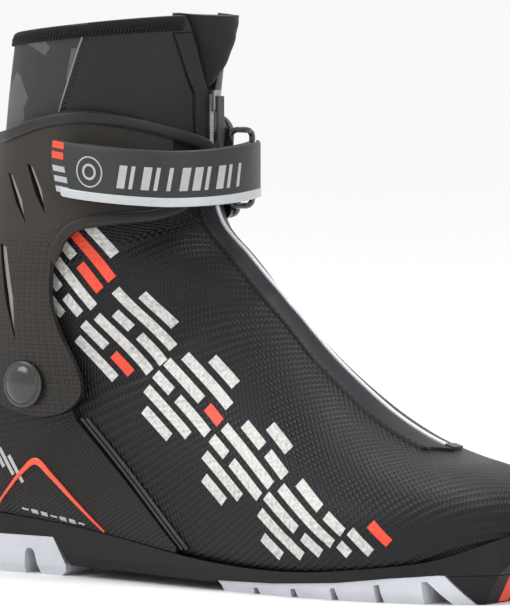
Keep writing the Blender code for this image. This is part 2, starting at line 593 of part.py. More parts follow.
def make_upper():
    under_shell = -SHELL - 2 * GAP
    liner_out = under_shell - PUFF - 2 * GAP
    liner_in = liner_out - LINER
    upper = shell("upper", (row_at(0), row_at(ROWS)), (lambda s: -edge_angle(s), edge_angle),
                  -SHELL, 0.0, (ROWS, 24), capped=True)
    slot = hide(shell("zip_slot", (ZIP_END, FLEX_FROM + 0.4), (-ZIP_SLOT, ZIP_SLOT), -3 * MM, 3 * MM, (14, 1)))
    boolean(upper, 'DIFFERENCE', slot)
    finish(upper, (0.02, 0.02, 0.024), 0.7)

    puff = shell("toe_puff", (0.9, 4.4), (-112, 112), under_shell - PUFF, under_shell, (6, 14))
    finish(puff, (0.55, 0.53, 0.48), 0.6)

    def padding(s, a):
        """The padding thins where the lining turns the foot's lower edge."""
        turn = np.abs((a + 180) % 360 - 180)
        return liner_in + 0.65 * LINER * np.exp(-((turn - 132) / 26) ** 2) * np.clip(12 - s, 0, 1)

    liner = shell("liner_foot", (1.0, FLEX_FROM - 0.1), (0, 360), padding, liner_out, (15, 16), True, True)
    finish(liner, (0.05, 0.05, 0.055), 0.9)
    board = shell("lasting_board", (1.0, 10.8), (156, 204), -BOARD, 0.0, (14, 3))
    finish(board, (0.45, 0.38, 0.28), 0.8)
    shank = shell("shank", (7.2, 10.4), (171, 189), -BOARD - GAP - PUFF, -BOARD - GAP, (6, 2))
    finish(shank, (0.02, 0.02, 0.02), 0.35)
    insole = shell("insole", (2.0, 11.5), (150, 210), liner_in - 2 * GAP - INSOLE, liner_in - 2 * GAP, (12, 4))
    finish(insole, (0.08, 0.08, 0.085), 0.9)

    under_tape = under_shell - GAP / 2 - TAPE
    tape = shell("zip_tape_lower", (ZIP_END - 0.3, FLEX_FROM), (-ZIP_SLOT - 4, ZIP_SLOT + 4),
                 under_tape, under_tape + TAPE, (16, 2))
    finish(tape, (0.015, 0.015, 0.016), 0.8)
    coil = shell_line("zip_coil_lower", ZIP_END + 0.1, FLEX_FROM - 0.1, 14)
    finish(coil, (0.6, 0.62, 0.65), 0.25)
    guard = shell("zip_guard_lower", (ZIP_END - 0.25, FLEX_FROM), (ZIP_SLOT + 0.4, GUARD),
                  GAP, GAP + 0.9 * MM, (16, 2))
    finish(guard, (0.02, 0.02, 0.022), 0.75)
    stop = shell("zip_end_stop", (ZIP_END - 0.26, ZIP_END - 0.04), (-ZIP_SLOT - 1.5, ZIP_SLOT - 0.2),
                 GAP, GAP + 1.2 * MM, (2, 3))
    finish(stop, (0.1, 0.1, 0.1), 0.5)

    # the flexing ankle: one sleeve of fabric and one of lining, between the foot and the cuff
    flex = shell("ankle_flex", (FLEX_FROM + 0.06, FLEX_TO - 0.05), (0, 360), -SHELL - GAP, -GAP, (4, 20), True)
    finish(flex, (0.022, 0.022, 0.026), 0.7)
    flex_liner = shell("liner_flex", (FLEX_FROM, FLEX_TO + 0.04), (0, 360), liner_in, liner_out,
                       (4, 18), True)
    finish(flex_liner, (0.05, 0.05, 0.055), 0.9)

    # collar: two sides and a back panel, with the zip between the sides
    part = (FLEX_TO, TOP - 0.02)
    step = 0.5
    side = shell("collar_outer", part, (slot_from, lambda s: seam_angle(s) - step), -SHELL, 0.0, (8, 7))
    finish(side, (0.03, 0.03, 0.033), 0.6)
    side = shell("collar_inner", part, (lambda s: -seam_angle(s) + step, lambda s: -slot_from(s)),
                 -SHELL, 0.0, (8, 7))
    finish(side, (0.03, 0.03, 0.033), 0.6)
    back = shell("collar_back", part, (seam_angle, lambda s: 360 - seam_angle(s)), -SHELL, 0.0, (8, 12))
    finish(back, (0.07, 0.06, 0.055), 0.75)
    binding = shell("collar_binding", (TOP - 0.42, TOP - 0.02), (27, 333), GAP, GAP + 0.9 * MM, (1, 28))
    finish(binding, (0.012, 0.012, 0.013), 0.85)
    lining = shell("liner_shaft", (FLEX_TO + 0.1, TOP - 0.1),
                   (lining_edge, lambda s: 358 - lining_edge(s)), liner_in, liner_out, (6, 16))
    finish(lining, (0.05, 0.05, 0.055), 0.9)

    tape = shell("zip_tape_upper", (FLEX_TO, ZIP_TOP), (-ZIP_SLOT - 4, ZIP_SLOT + 4),
                 under_tape, under_tape + TAPE, (8, 2))
    finish(tape, (0.015, 0.015, 0.016), 0.8)
    coil = shell_line("zip_coil_upper", FLEX_TO + 0.05, ZIP_TOP - 0.05, 7)
    finish(coil, (0.6, 0.62, 0.65), 0.25)
    guard = shell("zip_guard_upper", (FLEX_TO, ZIP_TOP + 0.25), (ZIP_SLOT + 0.4, GUARD), GAP, GAP + 0.9 * MM, (8, 2))
    finish(guard, (0.02, 0.02, 0.022), 0.75)
    make_gusset()


def shell_line(name, s_from, s_to, steps):
    """Round coil down the ridge, flush in the zip's slot."""
    s = np.linspace(s_from, s_to, steps)
    return tube(name, skin(s, 0 * s, np.full(len(s), -0.1 * MM)), ZIP_COIL)


def make_gusset():
    """Soft tongue tip that swells forward out of the collar's open front."""
    rows, cols = 7, 8
    thick = 3.0 * MM
    u, v = np.meshgrid(np.linspace(0, 1, rows + 1), np.linspace(0, 1, cols + 1), indexing="ij")
    s = GUSSET_FROM + (TOP - GUSSET_FROM) * u
    reach = 7.0 + 23.0 * np.sin(u * math.pi / 2) ** 0.7
    a = reach * (1 - 2 * v) - 2.0
    edge = np.array([[slot_from(k) - 1.5 for k in row] for row in s])
    free = np.clip(1 - np.abs(a + 1.0) / edge, 0, 1)
    swell = np.sin(np.clip(u * 1.35, 0, 1) * math.pi / 2) * np.sin(free * math.pi / 2) ** 0.8
    low = skin(s, a, -SHELL - GAP - thick - 1.2 * MM + swell * 8.5 * MM)
    high = skin(s, a, -SHELL - GAP - 1.2 * MM + swell * 9.5 * MM)
    count = cols + 1
    half = (rows + 1) * count
    verts = np.concatenate([high.reshape(-1, 3), low.reshape(-1, 3)])
    faces = []
    for i in range(rows):
        for j in range(cols):
            quad = [i * count + j, i * count + j + 1, (i + 1) * count + j + 1, (i + 1) * count + j]
            faces += [quad, [half + k for k in reversed(quad)]]
    ring = [j for j in range(cols)] + [i * count + cols for i in range(rows)]
    ring += [rows * count + j for j in range(cols, 0, -1)] + [i * count for i in range(rows, 0, -1)]
    for here, after in zip(ring, ring[1:] + ring[:1]):
        faces.append([after, here, half + here, half + after])
    gusset = solid("front_gusset", verts, faces)
    work = bmesh.new()
    work.from_mesh(gusset.data)
    bmesh.ops.recalc_face_normals(work, faces=work.faces)
    work.to_mesh(gusset.data)
    work.free()
    finish(gusset, (0.03, 0.026, 0.022), 0.85)


# ---- heel counter -------------------------------------------------------------------------
RIB_TOP, RIB_END = (82.0, 67.0), (137.0, 17.5)
TRIM_APEX, TRIM_BACK, TRIM_FRONT = (60.8, 48.6), (36.0, 29.5), (96.0, 21.6)


def make_counter():
    out = COUNTER_OUT
    lift = 0.9
    rim = [(x, z + lift) for x, z in RIM_LINE if -13 < x < RIB_END[0] - 1]
    outline = rim + [(RIB_END[0], RIB_END[1])]
    outline += [RIB_TOP, (76, 82), (66, 96), (48, 102), (24, 99), (-12, 94)]
    counter = shell("heel_counter", (row_at(ROWS // 2), row_at(ROWS + 2)), (84, 276), 2 * GAP, out,
                    (ROWS + 2 - ROWS // 2, 16))
    boolean(counter, 'INTERSECT', hide(prism("counter_outline", outline)))
    finish(counter, (0.03, 0.029, 0.028), 0.65)

    for name, inner_side in (("outer", False), ("inner", True)):
        turn = -1 if inner_side else 1
        width = 2.6
        (ax, az), (bx, bz), (fx, fz) = TRIM_APEX, TRIM_BACK, TRIM_FRONT
        chevron = [(ax, az), (fx, fz + 1.1), (fx, fz), (ax, az - width), (bx, bz), (bx, bz + 1.2)]
        trim = shell("accent_trim_" + name, (8.6, 13.6), (turn * 86, turn * 165) if turn > 0 else (-165, -86),
                     out + GAP, out + GAP + 0.6 * MM, (20, 16))
        boolean(trim, 'INTERSECT', hide(prism("chevron_" + name, chevron)))
        finish(trim, (0.85, 0.1, 0.02), 0.4)

        ends = (RIB_TOP[0] + 3.8, RIB_TOP[1]), (RIB_END[0] + 3.2, RIB_END[1])
        path = []
        for f in np.linspace(0, 1, 12):
            s, a = locate(ends[0][0] + (ends[1][0] - ends[0][0]) * f,
                          ends[0][1] + (ends[1][1] - ends[0][1]) * f, inner_side)
            path.append(skin(np.asarray(s), np.asarray(a), np.asarray(GAP + 1.0 * MM)))
        rib = tube("side_rib_" + name, path, 0.9 * MM)
        finish(rib, (0.015, 0.015, 0.015), 0.4)


# ---- cuff ---------------------------------------------------------------------------------
CUFF_TOP = [(-12, 181), (22, 183), (44, 187), (64, 194), (80, 197.3), (92, 197), (104, 194.5),
            (114, 190), (120.5, 185)]
CUFF_FRONT = [(121.5, 178), (120.5, 165), (118.5, 157), (112, 151.5), (98, 149.5), (84, 147),
              (76, 140.5), (74, 130)]
CUFF_BACK = 0.757            # height of the rubber edging at the back, as a share of the boot's height
BACK_EDGE = [(138, 3.6 * MM), (150, 1.8 * MM), (164, 0.5 * MM), (180, 0.0)]  # its angles, and rise above that
EDGING = 1.7 * MM            # radius of the rubber edging
EDGING_LIFT = EDGING + 2 * GAP
CUFF_LEG = [(74.6, 116), (79.5, 102), (86, 88), (87, 78), (79, 71.0), (66, 68.5), (50, 71), (32, 79),
            (14, 90), (-12, 94)]


def cuff_gap(s, a=0.0):
    """The cuff runs clear of the counter low down and lies close to the collar at the top."""
    return np.interp(s, [14, 17.5, 20.4], [COUNTER_OUT + CUFF_RUN, COUNTER_OUT + CUFF_RUN, 1.2 * MM])


def blade(root, tip, width):
    """Dagger-shaped cut between two points: wide near the top, pointed at the bottom."""
    (x0, z0), (x1, z1) = root, tip
    return [(x0 - width / 2, z0), (x0 + width / 2, z0 - 1.5),
            (x0 + (x1 - x0) * 0.55 + width * 0.62, z0 + (z1 - z0) * 0.55),
            (x1, z1), (x0 + (x1 - x0) * 0.55 - width * 0.38, z0 + (z1 - z0) * 0.6)]


CUTS = (((48.5, 171), (59.5, 150), 3.6), ((60.5, 175), (70, 154), 3.6), ((46.5, 141), (55, 100), 4.4))


def make_cuff():
    outline = list(smooth_outline(CUFF_TOP + CUFF_FRONT + CUFF_LEG, 3, closed=False)) + [(-25, 94), (-25, 181)]
    cuff = shell("cuff_shell", (13.6, 20.45), (38, 322), cuff_gap, lambda s, a: cuff_gap(s) + CUFF, (16, 20))
    boolean(cuff, 'INTERSECT', hide(prism("cuff_outline", outline)))
    boolean(cuff, 'DIFFERENCE', *[hide(prism(f"cuff_cut_{i}", blade(*cut))) for i, cut in enumerate(CUTS)])
    finish(cuff, (0.05, 0.043, 0.038), 0.55)

    heights = np.linspace(17, TOP, 60)
    edge = cuff_edge(False)
    for a, rise in BACK_EDGE + [(360 - a, rise) for a, rise in BACK_EDGE[-2::-1]]:
        s = np.interp(CUFF_BACK * HEIGHT + rise, on_last(heights, a)[:, 2], heights)
        edge.append(skin(s, np.asarray(float(a)), np.asarray(cuff_gap(s) + CUFF + EDGING_LIFT)))
    edge += cuff_edge(True)[::-1]
    trim = tube("cuff_edge_trim", edge, EDGING)
    finish(trim, (0.02, 0.018, 0.017), 0.75)
    make_pivots(cuff)


def cuff_edge(inner_side):
    """Points of the rubber edging on one side of the cuff, from its lower front end to the back."""
    run = smooth_outline(CUFF_TOP[2:] + CUFF_FRONT, 3, closed=False)[::-1]
    middle = np.array([88.0, 170.0])
    path = []
    for x, z in run:
        pull = middle - (x, z)
        x, z = (x, z) + 3.2 * pull / np.linalg.norm(pull)
        s, a = locate(x, z, inner_side)
        lift = cuff_gap(s) + CUFF + EDGING_LIFT
        path.append(skin(np.asarray(s), np.asarray(a), np.asarray(lift)))
    keep = [path[0]]
    for point in path[1:]:
        if np.linalg.norm(point - keep[-1]) > 6 * MM:
            keep.append(point)
    return keep


def make_pivots(cuff):
    """Rivets that the cuff turns on, each with a bush in the cuff and a washer inside the upper."""
    reach = RIVET_HEAD + 0.5 * MM
    for name, side in (("outer", 1), ("inner", -1)):
        s0, a0 = locate(PIVOT_X, PIVOT_Z, side < 0)
        x, y, z = on_last(np.asarray(s0), np.asarray(a0))
        s, a = np.meshgrid(np.linspace(s0 - 1.6, s0 + 1.6, 33), a0 + np.linspace(-22, 22, 33), indexing="ij")
        near = on_last(s, a)
        flat = np.hypot(near[..., 0] - x, near[..., 2] - z)

        def furthest(offset, radius):
            return (-side * skin(s, a, np.full(s.shape, offset))[..., 1][flat < radius]).max()

        def nearest(offset, radius):
            return (-side * skin(s, a, np.full(s.shape, offset))[..., 1][flat < radius]).min()

        cuff_out = COUNTER_OUT + CUFF_RUN + CUFF
        under_head = furthest(cuff_out, reach) + GAP
        inside = nearest(-SHELL, WASHER + 1 * MM) - GAP
        centre = (x, 0.0, z)

        head = under_head + RIVET_HEIGHT
        profile = [(0, head), (RIVET_HEAD * 0.35, head - 0.1 * MM), (RIVET_HEAD * 0.7, head - 0.6 * MM),
                   (RIVET_HEAD * 0.93, head - 1.5 * MM), (RIVET_HEAD, head - 2.4 * MM),
                   (RIVET_HEAD, under_head), (RIVET_SHANK, under_head), (RIVET_SHANK, inside), (0, inside)]
        rivet = turned("pivot_rivet_" + name, profile, centre, side)
        finish(rivet, (0.05, 0.045, 0.042), 0.3, 0.0)

        bush_in = furthest(COUNTER_OUT, BUSH + 1 * MM) + GAP
        bush_out = under_head - GAP
        bore = RIVET_SHANK + GAP
        bush = turned("pivot_bush_" + name, [(bore, bush_out), (BUSH, bush_out), (BUSH, bush_in),
                                             (bore, bush_in)], centre, side)
        finish(bush, (0.6, 0.58, 0.5), 0.4)

        seat = inside - 1.2 * MM
        washer = turned("pivot_washer_" + name, [(bore, seat + WASHER_HEIGHT), (WASHER, seat + WASHER_HEIGHT),
                                                 (WASHER, seat), (bore, seat)], centre, side)
        finish(washer, (0.5, 0.5, 0.5), 0.35, 1.0)

        drill_cuff = turned("cuff_bore_" + name, barrel(BUSH + GAP, inside - 4 * MM, head), centre, side)
        drill = turned("rivet_bore_" + name, barrel(RIVET_SHANK + GAP, inside - 4 * MM, head), centre, side)
        pocket = turned("washer_pocket_" + name, barrel(WASHER + GAP, inside - 1.5 * MM, head), centre, side)
        boolean(cuff, 'DIFFERENCE', hide(drill_cuff))
        hide(drill)
        for other in ("heel_counter", "upper"):
            boolean(bpy.data.objects[other], 'DIFFERENCE', drill)
        boolean(bpy.data.objects["liner_foot"], 'DIFFERENCE', hide(pocket))


def barrel(radius, low, high):
    return [(0, high), (radius, high), (radius, low), (0, low)]


# ---- strap --------------------------------------------------------------------------------
# plan of the strap's free run with its height, from its tip on the outer side round the front
# to the ring, in drawing millimetres
WEBBING_ROOT = (18.6, -46.0)  # station and angle where the ring's webbing leaves the cuff
# webbing's distance from the last there, over the counter, the cuff and its edging: its other end
# stays with the ring, so its root rises three times as far as it has to where it crosses the edging
WEBBING_RISE = 3 * (COUNTER + CUFF_RUN + CUFF) + 2 * EDGING - 6.3 * MM
WEBBING = 0.9 * MM
STRAP_RUN = [(79, -50.2, 174.2), (92, -51.0, 172.5), (106, -50.4, 171.2), (120, -47.2, 170.2),
             (132, -40.8, 169.6), (141, -31.0, 169.9), (146, -18.5, 170.8), (146.6, -5.5, 172.0),
             (143.4, 5.5, 172.8), (137.8, 12.6, 173.2)]


def strap_path(start, stop, inwards=0.0):
    """Points of the strap between two shares of its length."""
    run = smooth_outline(STRAP_RUN, 4, closed=False)
    reach = np.linspace(start, stop, max(4, int(abs(stop - start) * 34)))
    steps = np.concatenate([[0], np.cumsum(np.linalg.norm(np.diff(run, axis=0), axis=1))])
    steps /= steps[-1]
    run = np.stack([np.interp(reach, steps, run[:, k]) for k in range(3)], -1)
    path = place(run[:, 0], run[:, 1], run[:, 2])
    along = np.gradient(path, axis=0)
    left = np.stack([-along[:, 1], along[:, 0], 0 * along[:, 0]], -1)
    left /= np.linalg.norm(left, axis=1)[:, None]
    return path + left * inwards


def make_strap():
    free = ribbon("strap", strap_path(0, 1), STRAP_WIDTH, STRAP_THICKNESS)
    finish(free, (0.05, 0.05, 0.052), 0.6)
    band = strap_path(0.04, 0.985)
    band[:, 2] -= (STRAP_WIDTH - TAPE_WIDTH) / 2
    tape = ribbon("strap_reflective_tape", band, TAPE_WIDTH, 0.4 * MM, STRAP_THICKNESS + GAP)
    finish(tape, (0.7, 0.72, 0.74), 0.3)
    pads = STRAP_WIDTH - 5 * MM
    hook = ribbon("hook_pad", strap_path(0.03, 0.27), pads, PAD_THICKNESS, -PAD_THICKNESS - GAP)
    finish(hook, (0.02, 0.02, 0.02), 0.9)
    inwards = 2 * (PAD_THICKNESS + GAP) + GAP
    held = ribbon("strap_anchor", strap_path(0.12, 0.93, inwards + STRAP_THICKNESS), STRAP_WIDTH, STRAP_THICKNESS)
    finish(held, (0.05, 0.05, 0.052), 0.6)
    loop = ribbon("loop_pad", strap_path(0.14, 0.5, inwards - GAP), pads, PAD_THICKNESS)
    finish(loop, (0.02, 0.02, 0.02), 0.95)

    # ring: a rounded rectangle of wire, upright, between the webbing and the strap's fold
    low, high = 157.0, 189.0
    corner = 2.6
    (x0, y0), (x1, y1) = RING_BAR, FOLD_BAR
    way = np.array([x1 - x0, y1 - y0])
    reach = np.linalg.norm(way)
    way /= reach
    flat = []
    for cx, cz, start in ((corner, low + corner, 180), (reach - corner, low + corner, 270),
                          (reach - corner, high - corner, 0), (corner, high - corner, 90)):
        for t in np.linspace(start, start + 90, 4):
            flat.append((cx + corner * math.cos(math.radians(t)), cz + corner * math.sin(math.radians(t))))
    path = [place(np.asarray(x0 + way[0] * d), np.asarray(y0 + way[1] * d), np.asarray(h)) for d, h in flat]
    finish(tube("strap_ring", path, RING_WIRE, cyclic=True, sides=3), (0.03, 0.03, 0.03), 0.2, 0.0)

    # webbing: leaves the inner side of the cuff and loops round the ring's inner bar
    middle = (low + high) / 2
    ring = place(np.asarray(x0), np.asarray(y0), np.asarray(middle))
    around = RING_WIRE + GAP
    out = []
    for t in np.linspace(30, -150, 8):
        out.append(ring + around * np.array([math.cos(math.radians(t)), math.sin(math.radians(t)), 0]))
    s, a = WEBBING_ROOT
    root = [skin(np.asarray(s), np.asarray(float(k)), np.asarray(WEBBING_RISE)) for k in np.linspace(a, a + 23, 4)]
    for point in root:
        point[2] = ring[2]
    webbing = ribbon("ring_webbing", [*root, *out], STRAP_WIDTH - 7 * MM, WEBBING, -WEBBING)
    finish(webbing, (0.012, 0.012, 0.012), 0.9)


# ---- zip slider ---------------------------------------------------------------------------
SLIDER = (2.2 * MM, 4.6 * MM, 9 * MM)      # how deep, wide and long
PULL = (1.2 * MM, 4.4 * MM, 22 * MM)
PULL_GAP = 0.5 * MM                        # lets the pull's top swing in as its end is lifted out
PULL_OVERHANG = 2 * MM                     # from the slider's middle up to the pull's top end


def make_slider():
    s = np.asarray(ZIP_TOP - 0.12)
    base = skin(s, np.asarray(0.0), np.asarray(0.0))
    rise = ZIP_COIL + GAP
    bpy.ops.mesh.primitive_cube_add(size=1, location=(base[0] + rise + SLIDER[0] / 2, base[1], base[2]))
    slider = bpy.context.object
    slider.name = "zip_slider"
    slider.scale = SLIDER
    bpy.ops.object.transform_apply(location=False, rotation=False, scale=True)
    slider.users_collection[0].objects.unlink(slider)
    bevel = slider.modifiers.new("edges", 'BEVEL')
    bevel.width = 0.6 * MM
    bevel.segments = 2
    finish(slider, (0.2, 0.2, 0.21), 0.35, 0.6)
    bpy.ops.mesh.primitive_cube_add(size=1, location=(base[0] + rise + SLIDER[0] + PULL_GAP + PULL[0] / 2, base[1],
                                                      base[2] + PULL_OVERHANG - PULL[2] / 2))
    pull = bpy.context.object
    pull.name = "zip_pull"
    pull.scale = PULL
    bpy.ops.object.transform_apply(location=False, rotation=False, scale=True)
    pull.users_collection[0].objects.unlink(pull)
    bevel = pull.modifiers.new("edges", 'BEVEL')
    bevel.width = 0.4 * MM
    bevel.segments = 2
    finish(pull, (0.04, 0.035, 0.03), 0.5)


clear_scene()
make_sole()
make_toe()
make_upper()
make_counter()
make_cuff()
make_strap()
make_slider()
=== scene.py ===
"""Looks of a cross country skate boot for the right foot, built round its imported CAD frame."""
import json
import math

import bmesh
import bpy
import numpy as np
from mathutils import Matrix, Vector


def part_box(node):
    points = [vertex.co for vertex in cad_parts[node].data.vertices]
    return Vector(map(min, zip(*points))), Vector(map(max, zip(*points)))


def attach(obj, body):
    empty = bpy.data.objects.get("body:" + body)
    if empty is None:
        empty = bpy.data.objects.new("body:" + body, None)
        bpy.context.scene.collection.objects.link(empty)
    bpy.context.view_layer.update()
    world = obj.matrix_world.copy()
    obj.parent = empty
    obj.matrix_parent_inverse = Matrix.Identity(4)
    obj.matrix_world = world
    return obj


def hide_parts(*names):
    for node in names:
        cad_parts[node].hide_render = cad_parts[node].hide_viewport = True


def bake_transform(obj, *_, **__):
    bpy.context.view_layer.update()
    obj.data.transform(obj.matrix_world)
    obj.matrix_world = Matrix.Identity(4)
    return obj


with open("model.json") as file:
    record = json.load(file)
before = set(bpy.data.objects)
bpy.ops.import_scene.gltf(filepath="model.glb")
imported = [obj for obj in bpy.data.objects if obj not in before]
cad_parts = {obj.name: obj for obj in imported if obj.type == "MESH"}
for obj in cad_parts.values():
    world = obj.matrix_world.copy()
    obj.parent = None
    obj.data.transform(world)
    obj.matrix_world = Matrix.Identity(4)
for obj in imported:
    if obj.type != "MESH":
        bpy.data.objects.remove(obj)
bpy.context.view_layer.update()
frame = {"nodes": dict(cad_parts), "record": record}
nodes = frame["nodes"]
MM = 0.001

# ---- studio -------------------------------------------------------------------------------
# A plain white floor with one large soft light from the upper left, a weaker one from the right
# and a long strip over the top, as for a catalogue view from a little above the ground.
BOOT_MIDDLE = Vector((-0.0004, 0.0021, 0.1157))
VIEW_TURN, VIEW_RISE, VIEW_DISTANCE = math.radians(36), math.radians(3), 2.6

towards_camera = Vector((math.sin(VIEW_TURN) * math.cos(VIEW_RISE),
                         -math.cos(VIEW_TURN) * math.cos(VIEW_RISE), math.sin(VIEW_RISE)))
camera = bpy.data.objects.new("camera", bpy.data.cameras.new("camera"))
camera.data.lens = 365
camera.data.sensor_width = 36
camera.location = BOOT_MIDDLE + towards_camera * VIEW_DISTANCE
camera.rotation_euler = towards_camera.to_track_quat('Z', 'Y').to_euler()
bpy.context.scene.collection.objects.link(camera)
bpy.context.scene.camera = camera
bpy.context.scene.view_settings.view_transform = 'Standard'


def softbox(name, place, aim, size, power):
    light = bpy.data.lights.new(name, 'AREA')
    light.shape = 'RECTANGLE'
    light.size, light.size_y = size
    light.energy = power
    lamp = bpy.data.objects.new(name, light)
    lamp.location = place
    lamp.rotation_euler = (Vector(place) - Vector(aim)).to_track_quat('Z', 'Y').to_euler()
    bpy.context.scene.collection.objects.link(lamp)


softbox("key_light", (-1.1, -1.5, 1.3), (0, 0, 0.12), (0.9, 1.2), 17)
softbox("fill_light", (1.5, -0.9, 0.7), (0, 0, 0.1), (0.8, 1.2), 5)
softbox("top_light", (0.1, 0.2, 1.6), (0, 0, 0.1), (1.4, 0.6), 15)

world = bpy.data.worlds.new("studio")
world.use_nodes = True
world.node_tree.nodes["Background"].inputs["Color"].default_value = (1, 1, 1, 1)
world.node_tree.nodes["Background"].inputs["Strength"].default_value = 1.0
bpy.context.scene.world = world


def add(tree, kind, values=None, **settings):
    """Node of a kind, with its settings; each of its inputs is given a value or another node's output."""
    made = tree.nodes.new("ShaderNode" + kind)
    for key, setting in settings.items():
        setattr(made, key, setting)
    for key, given in (values or {}).items():
        if isinstance(given, bpy.types.NodeSocket):
            tree.links.new(given, made.inputs[key])
        else:
            made.inputs[key].default_value = given
    return made


floor_mesh = bpy.data.meshes.new("floor")
floor_mesh.from_pydata([(-90, -90, 0), (90, -90, 0), (90, 90, 0), (-90, 90, 0)], [], [(0, 1, 2, 3)])
floor = bpy.data.objects.new("floor", floor_mesh)
bpy.context.scene.collection.objects.link(floor)
paper = bpy.data.materials.new("white_paper")
paper.use_nodes = True
paper.node_tree.nodes["Principled BSDF"].inputs["Base Color"].default_value = (0.94, 0.94, 0.94, 1)
paper.node_tree.nodes["Principled BSDF"].inputs["Roughness"].default_value = 0.9
floor_mesh.materials.append(paper)


# ---- cloth and moulding finishes ----------------------------------------------------------
# Every surface of the boot is slightly uneven in tone and gloss, with a fine grain. Softshell is
# embossed with staggered dots, elastic is woven, and the cuff carries a waffle relief.
def new_group(name, inputs, outputs):
    group = bpy.data.node_groups.new(name, 'ShaderNodeTree')
    for title, kind, given in inputs:
        socket = group.interface.new_socket(title, in_out='INPUT', socket_type='NodeSocket' + kind)
        if given is not None:
            socket.default_value = given
    for title, kind in outputs:
        group.interface.new_socket(title, in_out='OUTPUT', socket_type='NodeSocket' + kind)
    return group, group.nodes.new('NodeGroupInput'), group.nodes.new('NodeGroupOutput')


uneven, given, out = new_group("uneven_tone", [
    ("Colour", 'Color', (0.5, 0.5, 0.5, 1)), ("Change", 'Float', 0.2), ("Scale", 'Float', 40.0),
    ("Roughness", 'Float', 0.5)], [("Colour", 'Color'), ("Roughness", 'Float'), ("Grain", 'Float')])
place_in = add(uneven, "TexCoord")
broad = add(uneven, "TexNoise", {"Vector": place_in.outputs["Object"], "Scale": given.outputs["Scale"],
                                 "Detail": 4.0})
fine = add(uneven, "TexNoise", {"Vector": place_in.outputs["Object"], "Scale": 1800.0, "Detail": 2.0})
swing = add(uneven, "Math", {0: broad.outputs["Fac"], 1: 0.5}, operation='SUBTRACT')
share = add(uneven, "Math", {0: swing.outputs[0], 1: given.outputs["Change"]}, operation='MULTIPLY')
share2 = add(uneven, "Math", {0: share.outputs[0], 1: 2.0, 2: 1.0}, operation='MULTIPLY_ADD')
toned = add(uneven, "Mix", {6: given.outputs["Colour"], 7: share2.outputs[0], "Factor": 1.0},
            data_type='RGBA', blend_type='MULTIPLY')
rough = add(uneven, "Math", {0: share.outputs[0], 1: given.outputs["Roughness"]}, operation='ADD',
            use_clamp=True)
uneven.links.new(toned.outputs[2], out.inputs["Colour"])
uneven.links.new(rough.outputs[0], out.inputs["Roughness"])
uneven.links.new(fine.outputs["Fac"], out.inputs["Grain"])

dots, given, out = new_group("staggered_dots", [("Vector", 'Vector', None), ("Pitch", 'Float', 0.002)],
                             [("Height", 'Float')])
turn = add(dots, "VectorRotate", {"Vector": given.outputs["Vector"], "Angle": math.pi / 4},
           rotation_type='Z_AXIS')
inverse = add(dots, "Math", {0: 1.0, 1: given.outputs["Pitch"]}, operation='DIVIDE')
scaled = add(dots, "VectorMath", {0: turn.outputs[0], "Scale": inverse.outputs[0]}, operation='SCALE')
pits = add(dots, "TexVoronoi", {"Vector": scaled.outputs[0], "Scale": 1.0, "Randomness": 0.0},
           voronoi_dimensions='2D')
round_off = add(dots, "MapRange", {"Value": pits.outputs["Distance"], "From Min": 0.12, "From Max": 0.5},
                interpolation_type='SMOOTHSTEP')
dots.links.new(round_off.outputs[0], out.inputs["Height"])

weave, given, out = new_group("woven", [("Vector", 'Vector', None), ("Pitch", 'Float', 0.001)],
                              [("Height", 'Float')])
inverse = add(weave, "Math", {0: 2 * math.pi, 1: given.outputs["Pitch"]}, operation='DIVIDE')
scaled = add(weave, "VectorMath", {0: given.outputs["Vector"], "Scale": inverse.outputs[0]},
             operation='SCALE')
parts = add(weave, "SeparateXYZ", {0: scaled.outputs[0]})
warp = add(weave, "Math", {0: parts.outputs[0]}, operation='SINE')
weft = add(weave, "Math", {0: parts.outputs[1]}, operation='SINE')
crossing = add(weave, "Math", {0: warp.outputs[0], 1: weft.outputs[0], 2: 0.5}, operation='MULTIPLY_ADD')
weave.links.new(crossing.outputs[0], out.inputs["Height"])


# raised squares in a grid, which fade out above the cuff's middle; they follow the object's own
# axes, so the group leaves its vector unused
waffle, given, out = new_group("waffle", [("Vector", 'Vector', None), ("Pitch", 'Float', 0.003)],
                               [("Height", 'Float')])
level = add(waffle, "SeparateXYZ", {0: add(waffle, "TexCoord").outputs["Object"]})
inverse = add(waffle, "Math", {0: 2 * math.pi, 1: given.outputs["Pitch"]}, operation='DIVIDE')
sideways = add(waffle, "Math", {0: level.outputs[1]}, operation='ABSOLUTE')
around = add(waffle, "Math", {0: level.outputs[0], 1: sideways.outputs[0]}, operation='ADD')
around = add(waffle, "Math", {0: around.outputs[0], 1: inverse.outputs[0]}, operation='MULTIPLY')
height = add(waffle, "Math", {0: level.outputs[2], 1: inverse.outputs[0]}, operation='MULTIPLY')
columns = add(waffle, "Math", {0: around.outputs[0]}, operation='SINE')
lines = add(waffle, "Math", {0: height.outputs[0]}, operation='SINE')
lower = add(waffle, "Math", {0: columns.outputs[0], 1: lines.outputs[0]}, operation='MINIMUM')
squares = add(waffle, "MapRange", {"Value": lower.outputs[0], "From Min": -0.35, "From Max": 0.15},
              interpolation_type='SMOOTHSTEP')
fade = add(waffle, "MapRange", {"Value": level.outputs[2], "From Min": 0.140, "From Max": 0.152,
                                "To Min": 1.0,
                                "To Max": 0.0}, interpolation_type='SMOOTHSTEP')
faded = add(waffle, "Math", {0: squares.outputs[0], 1: fade.outputs[0]}, operation='MULTIPLY')
waffle.links.new(faded.outputs[0], out.inputs["Height"])


